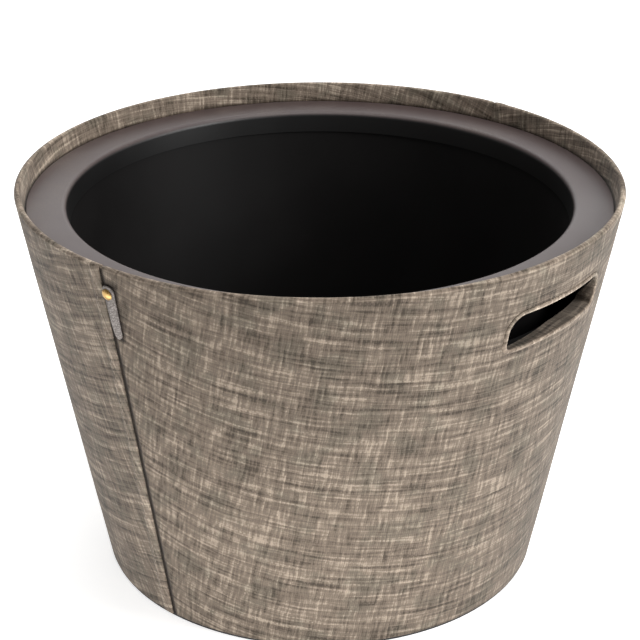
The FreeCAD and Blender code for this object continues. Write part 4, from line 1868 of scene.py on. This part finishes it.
@dataclass(frozen=True)
class MetalInsert:
    """The lift-out insert: a flat ring with a rolled mouth, a tapered bucket and a dished base.

    Attributes:
        ring_top: Height of the ring's face.
        ring_radius: Its outside radius.
        mouth_foot: Height of the lower edge of the mouth's lip.
        wall_top: Height of the bucket's upper edge.
        wall_foot: Height of its lower edge.
        wall_radius: Outside radius of its upper edge.
        floor_top: Height of the base's face.
        floor_radius: Outside radius of the base at its upper edge.
        taper: How much the bucket's radius grows for each metre of height.
        lip_inset: How far the lip's inner face lies inside the bucket's outer one.
        sheet: Thickness of the metal.
        roll: Radius of the mouth's bend.
        lap: Space between the lip and the bucket that laps it.
    """

    ring_top: float
    ring_radius: float
    mouth_foot: float
    wall_top: float
    wall_foot: float
    wall_radius: float
    floor_top: float
    floor_radius: float
    taper: float = 0.1408
    lip_inset: float = 2.3 * MM
    sheet: float = 1.0 * MM
    roll: float = 5.0 * MM
    lap: float = 0.3 * MM

    @classmethod
    def from_frame(cls) -> "MetalInsert":
        """Reads the insert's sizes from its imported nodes.

        Returns:
            The insert.
        """
        ring_low, ring_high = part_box("insert_flange")
        wall_low, wall_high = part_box("insert_wall")
        _, floor_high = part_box("insert_floor")
        return cls(
            ring_top=ring_high[2],
            ring_radius=ring_high[0],
            mouth_foot=ring_low[2],
            wall_top=wall_high[2],
            wall_foot=wall_low[2],
            wall_radius=wall_high[0],
            floor_top=floor_high[2],
            floor_radius=floor_high[0],
        )

    @property
    def lean(self) -> float:
        """The bucket's angle from upright, in degrees."""
        return math.degrees(math.atan(self.taper))

    def bucket(self, z: float) -> float:
        """Radius of the lip's inner face at a height."""
        return self.wall_radius - self.lip_inset - self.taper * (self.wall_top - z)

    def ring(self) -> None:
        """Turns the flat ring with its rolled mouth and the lip below it."""
        centre_z = self.ring_top - self.roll
        centre = (self.bucket(centre_z) + self.roll / math.cos(math.radians(self.lean)), centre_z)
        rim_round, rim_edge = 0.35 * MM, 0.8 * MM
        shoulder, foot = self.ring_radius - rim_round, self.bucket(self.mouth_foot)
        section = arc((shoulder, self.ring_top - rim_round), rim_round, 0.0, 90.0, 4)
        section += arc(centre, self.roll, 90.0, 180.0 - self.lean, 14)
        section += [(foot, self.mouth_foot), (foot + self.sheet, self.mouth_foot)]
        section += arc(centre, self.roll - self.sheet, 180.0 - self.lean, 90.0, 14)
        section += [(shoulder, self.ring_top - self.sheet), (self.ring_radius, self.ring_top - rim_edge)]
        piece = turn_section("insert_ring", section, RING_COAT, 240)
        ride_as(piece, RING_COAT, Body.INSERT, "dark_metal", "insert_flange")

    def wall(self) -> None:
        """Turns the tapered bucket and raises its upright weld."""
        inner = self.sheet + self.lap
        outer = inner + self.sheet
        rows = 24
        heights = [self.wall_foot + (self.wall_top - self.wall_foot) * row / rows for row in range(rows + 1)]
        section = [(self.bucket(z) + inner, z) for z in reversed(heights)]
        section += [(self.bucket(z) + outer, z) for z in heights]
        piece = turn_section("insert_bucket", section, BUCKET_COAT, 240)
        self.raise_weld(piece.data, 0.3 * MM, 1.6 * MM)
        ride_as(piece, BUCKET_COAT, Body.INSERT, "dark_metal", "insert_wall")

    def raise_weld(self, mesh: Mesh, height: float, half_width: float) -> None:
        """Thickens the sheet inwards along one upright line at the back.

        Args:
            mesh: The bucket's mesh.
            height: How far the weld stands in.
            half_width: Half its width at the wall.
        """
        fade = 20 * MM
        for vertex in mesh.vertices:
            place = vertex.co
            if place.y < 0 or abs(place.x) > 2 * half_width:
                continue
            if math.hypot(place.x, place.y) > self.bucket(place.z) + self.sheet + 2 * self.lap:
                continue
            bead = height * math.exp(-((place.x / half_width) ** 2))
            place.y -= bead * min(1.0, (self.wall_top - place.z) / fade)

    def base(self) -> None:
        """Turns the base plate with its turned-down edge."""
        bend, draw, rings = 3.0 * MM, 0.3 * MM, 5
        foot = self.wall_foot
        foot_radius = self.floor_radius - self.taper * (self.floor_top - foot)
        centre = (self.floor_radius - bend - draw, self.floor_top - bend)
        top = arc(centre, bend, 90.0, -self.lean, 8)
        inside = arc(centre, bend - self.sheet, -self.lean, 90.0, 8)
        face = [(top[0][0] * ring / rings, self.floor_top) for ring in range(rings)]
        hidden = [(radius, z - self.sheet) for radius, z in reversed(face)]
        skirt = [(foot_radius, foot), (foot_radius - self.sheet, foot)]
        piece = turn_section("insert_base", face + top + skirt + inside + hidden, BUCKET_COAT, 192)
        ride_as(piece, BUCKET_COAT, Body.INSERT, "dark_metal", "insert_floor")

    def install(self) -> None:
        """Builds the three pressed parts."""
        self.ring()
        self.wall()
        self.base()


# ---------------------------------------------------------------------------------------------
# The studio
# ---------------------------------------------------------------------------------------------


def aim_at(name: str, data: bpy.types.ID, place: Vector, target: Vector) -> Piece:
    """Puts a light or a camera into the scene and points it.

    Args:
        name: Its name.
        data: The light or the camera.
        place: Where it stands.
        target: The point that it looks at.

    Returns:
        The new object.
    """
    made = bpy.data.objects.new(name, data)
    made.location = place
    made.rotation_euler = (target - place).to_track_quat("-Z", "Y").to_euler()
    bpy.context.scene.collection.objects.link(made)
    return made


@dataclass(frozen=True)
class SoftLight:
    """A large level light that looks at the basket.

    Attributes:
        name: Its name.
        place: Where it hangs.
        width: Its level width.
        height: Its height.
        power: Its power in watts.
    """

    name: str
    place: tuple[float, float, float]
    width: float
    height: float
    power: float

    def hang(self, target: Vector) -> None:
        """Adds the light.

        Args:
            target: The point that it looks at.
        """
        data = bpy.data.lights.new(self.name, "AREA")
        data.shape = "RECTANGLE"
        data.size = self.width
        data.size_y = self.height
        data.energy = self.power
        aim_at(self.name, data, Vector(self.place), target).visible_camera = False


@dataclass(frozen=True)
class Studio:
    """A pale floor, soft lights and one camera.

    Attributes:
        azimuth: Degrees that the camera stands to the right of the front seam.
        elevation: Degrees that it looks down from.
        distance: From the basket's middle to the camera.
        middle: Height of the basket's middle.
        aim: Height on the axis that it points at.
        lens: Focal length in millimetres.
        sensor: Width of the film in millimetres.
        sky: Strength of the even light from all round.
        reach: How far the paper goes each way.
        drop: How far the paper lies below the basket's foot.
    """

    azimuth: float = 40.5
    elevation: float = 26.1
    distance: float = 1.625
    middle: float = 0.168
    aim: float = 0.204
    lens: float = 106.2
    sensor: float = 36.0
    sky: float = 0.2
    reach: float = 60.0
    drop: float = 0.3 * MM

    def floor(self) -> None:
        """Lays the paper."""
        corners = [(self.reach * x, self.reach * y, 0.0) for x, y in ((-1, -1), (1, -1), (1, 1), (-1, 1))]
        paper = add_object("studio_floor", mesh_of("studio_floor", corners, [(0, 1, 2, 3)]))
        paper.location.z = -self.drop
        paper.data.materials.append(PAPER.material())

    def lights(self) -> None:
        """Hangs the lights and sets the even light."""
        for light in (
            SoftLight("key_light", (2.6, 0.9, 1.8), 1.5, 1.5, 62.0),
            SoftLight("low_light", (0.27, -0.32, 0.03), 1.1, 0.06, 1.25),
            SoftLight("back_light", (-1.75, 2.05, 1.75), 2.4, 2.4, 28.0),
            SoftLight("top_light", (0.2, 0.2, 2.8), 1.8, 1.8, 34.0),
        ):
            light.hang(Vector((0.0, 0.0, self.middle)))
        world = bpy.data.worlds.new("studio_air")
        world.use_nodes = True
        background = world.node_tree.nodes["Background"]
        background.inputs["Color"].default_value = (1.0, 1.0, 1.0, 1.0)
        background.inputs["Strength"].default_value = self.sky
        bpy.context.scene.world = world

    def camera(self) -> None:
        """Stands the camera."""
        side, up = math.radians(self.azimuth), math.radians(self.elevation)
        level, rise = self.distance * math.cos(up), self.distance * math.sin(up)
        data = bpy.data.cameras.new("studio_camera")
        data.lens = self.lens
        data.sensor_width = self.sensor
        place = Vector((level * math.sin(side), -level * math.cos(side), self.middle + rise))
        bpy.context.scene.camera = aim_at("studio_camera", data, place, Vector((0.0, 0.0, self.aim)))

    def install(self) -> None:
        """Sets up the floor, the lights, the camera and plain colour handling."""
        self.floor()
        self.lights()
        self.camera()
        bpy.context.scene.view_settings.view_transform = "Standard"
        LOG.info("studio: floor, four soft lights and the camera")


def dress_packed_nodes() -> None:
    """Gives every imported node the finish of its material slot."""
    for name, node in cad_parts.items():
        for slot in node.material_slots:
            key = slot.material.name.split(".")[0] if slot.material else ""
            if key in FINISH_OF_SLOT:
                slot.material = FINISH_OF_SLOT[key].material()
        LOG.info("%s: packed node, dressed", name)


def main() -> None:
    """Builds the basket piece by piece."""
    logging.basicConfig(level=logging.INFO, format="%(message)s")
    form = BasketForm.from_frame()
    slot = HandSlot.from_frame()
    dress_packed_nodes()
    tab = LeatherTab.from_frame(form)
    insert = MetalInsert.from_frame()
    turn_in = form.top - 28.0 * MM
    for side, cloth in ((Side.RIGHT, CLOTH_RIGHT), (Side.LEFT, CLOTH_LEFT)):
        ClothPanel(form, slot, side, cloth, tab, insert.ring_top, turn_in).install()
        SlotLining(form, slot, side).install()
    for seam in Seam:
        HemStitching(form, seam).install()
    tab.install()
    RivetHead.from_frame(form).install()
    insert.install()
    Studio().install()


if __name__ == "__main__":
    main()
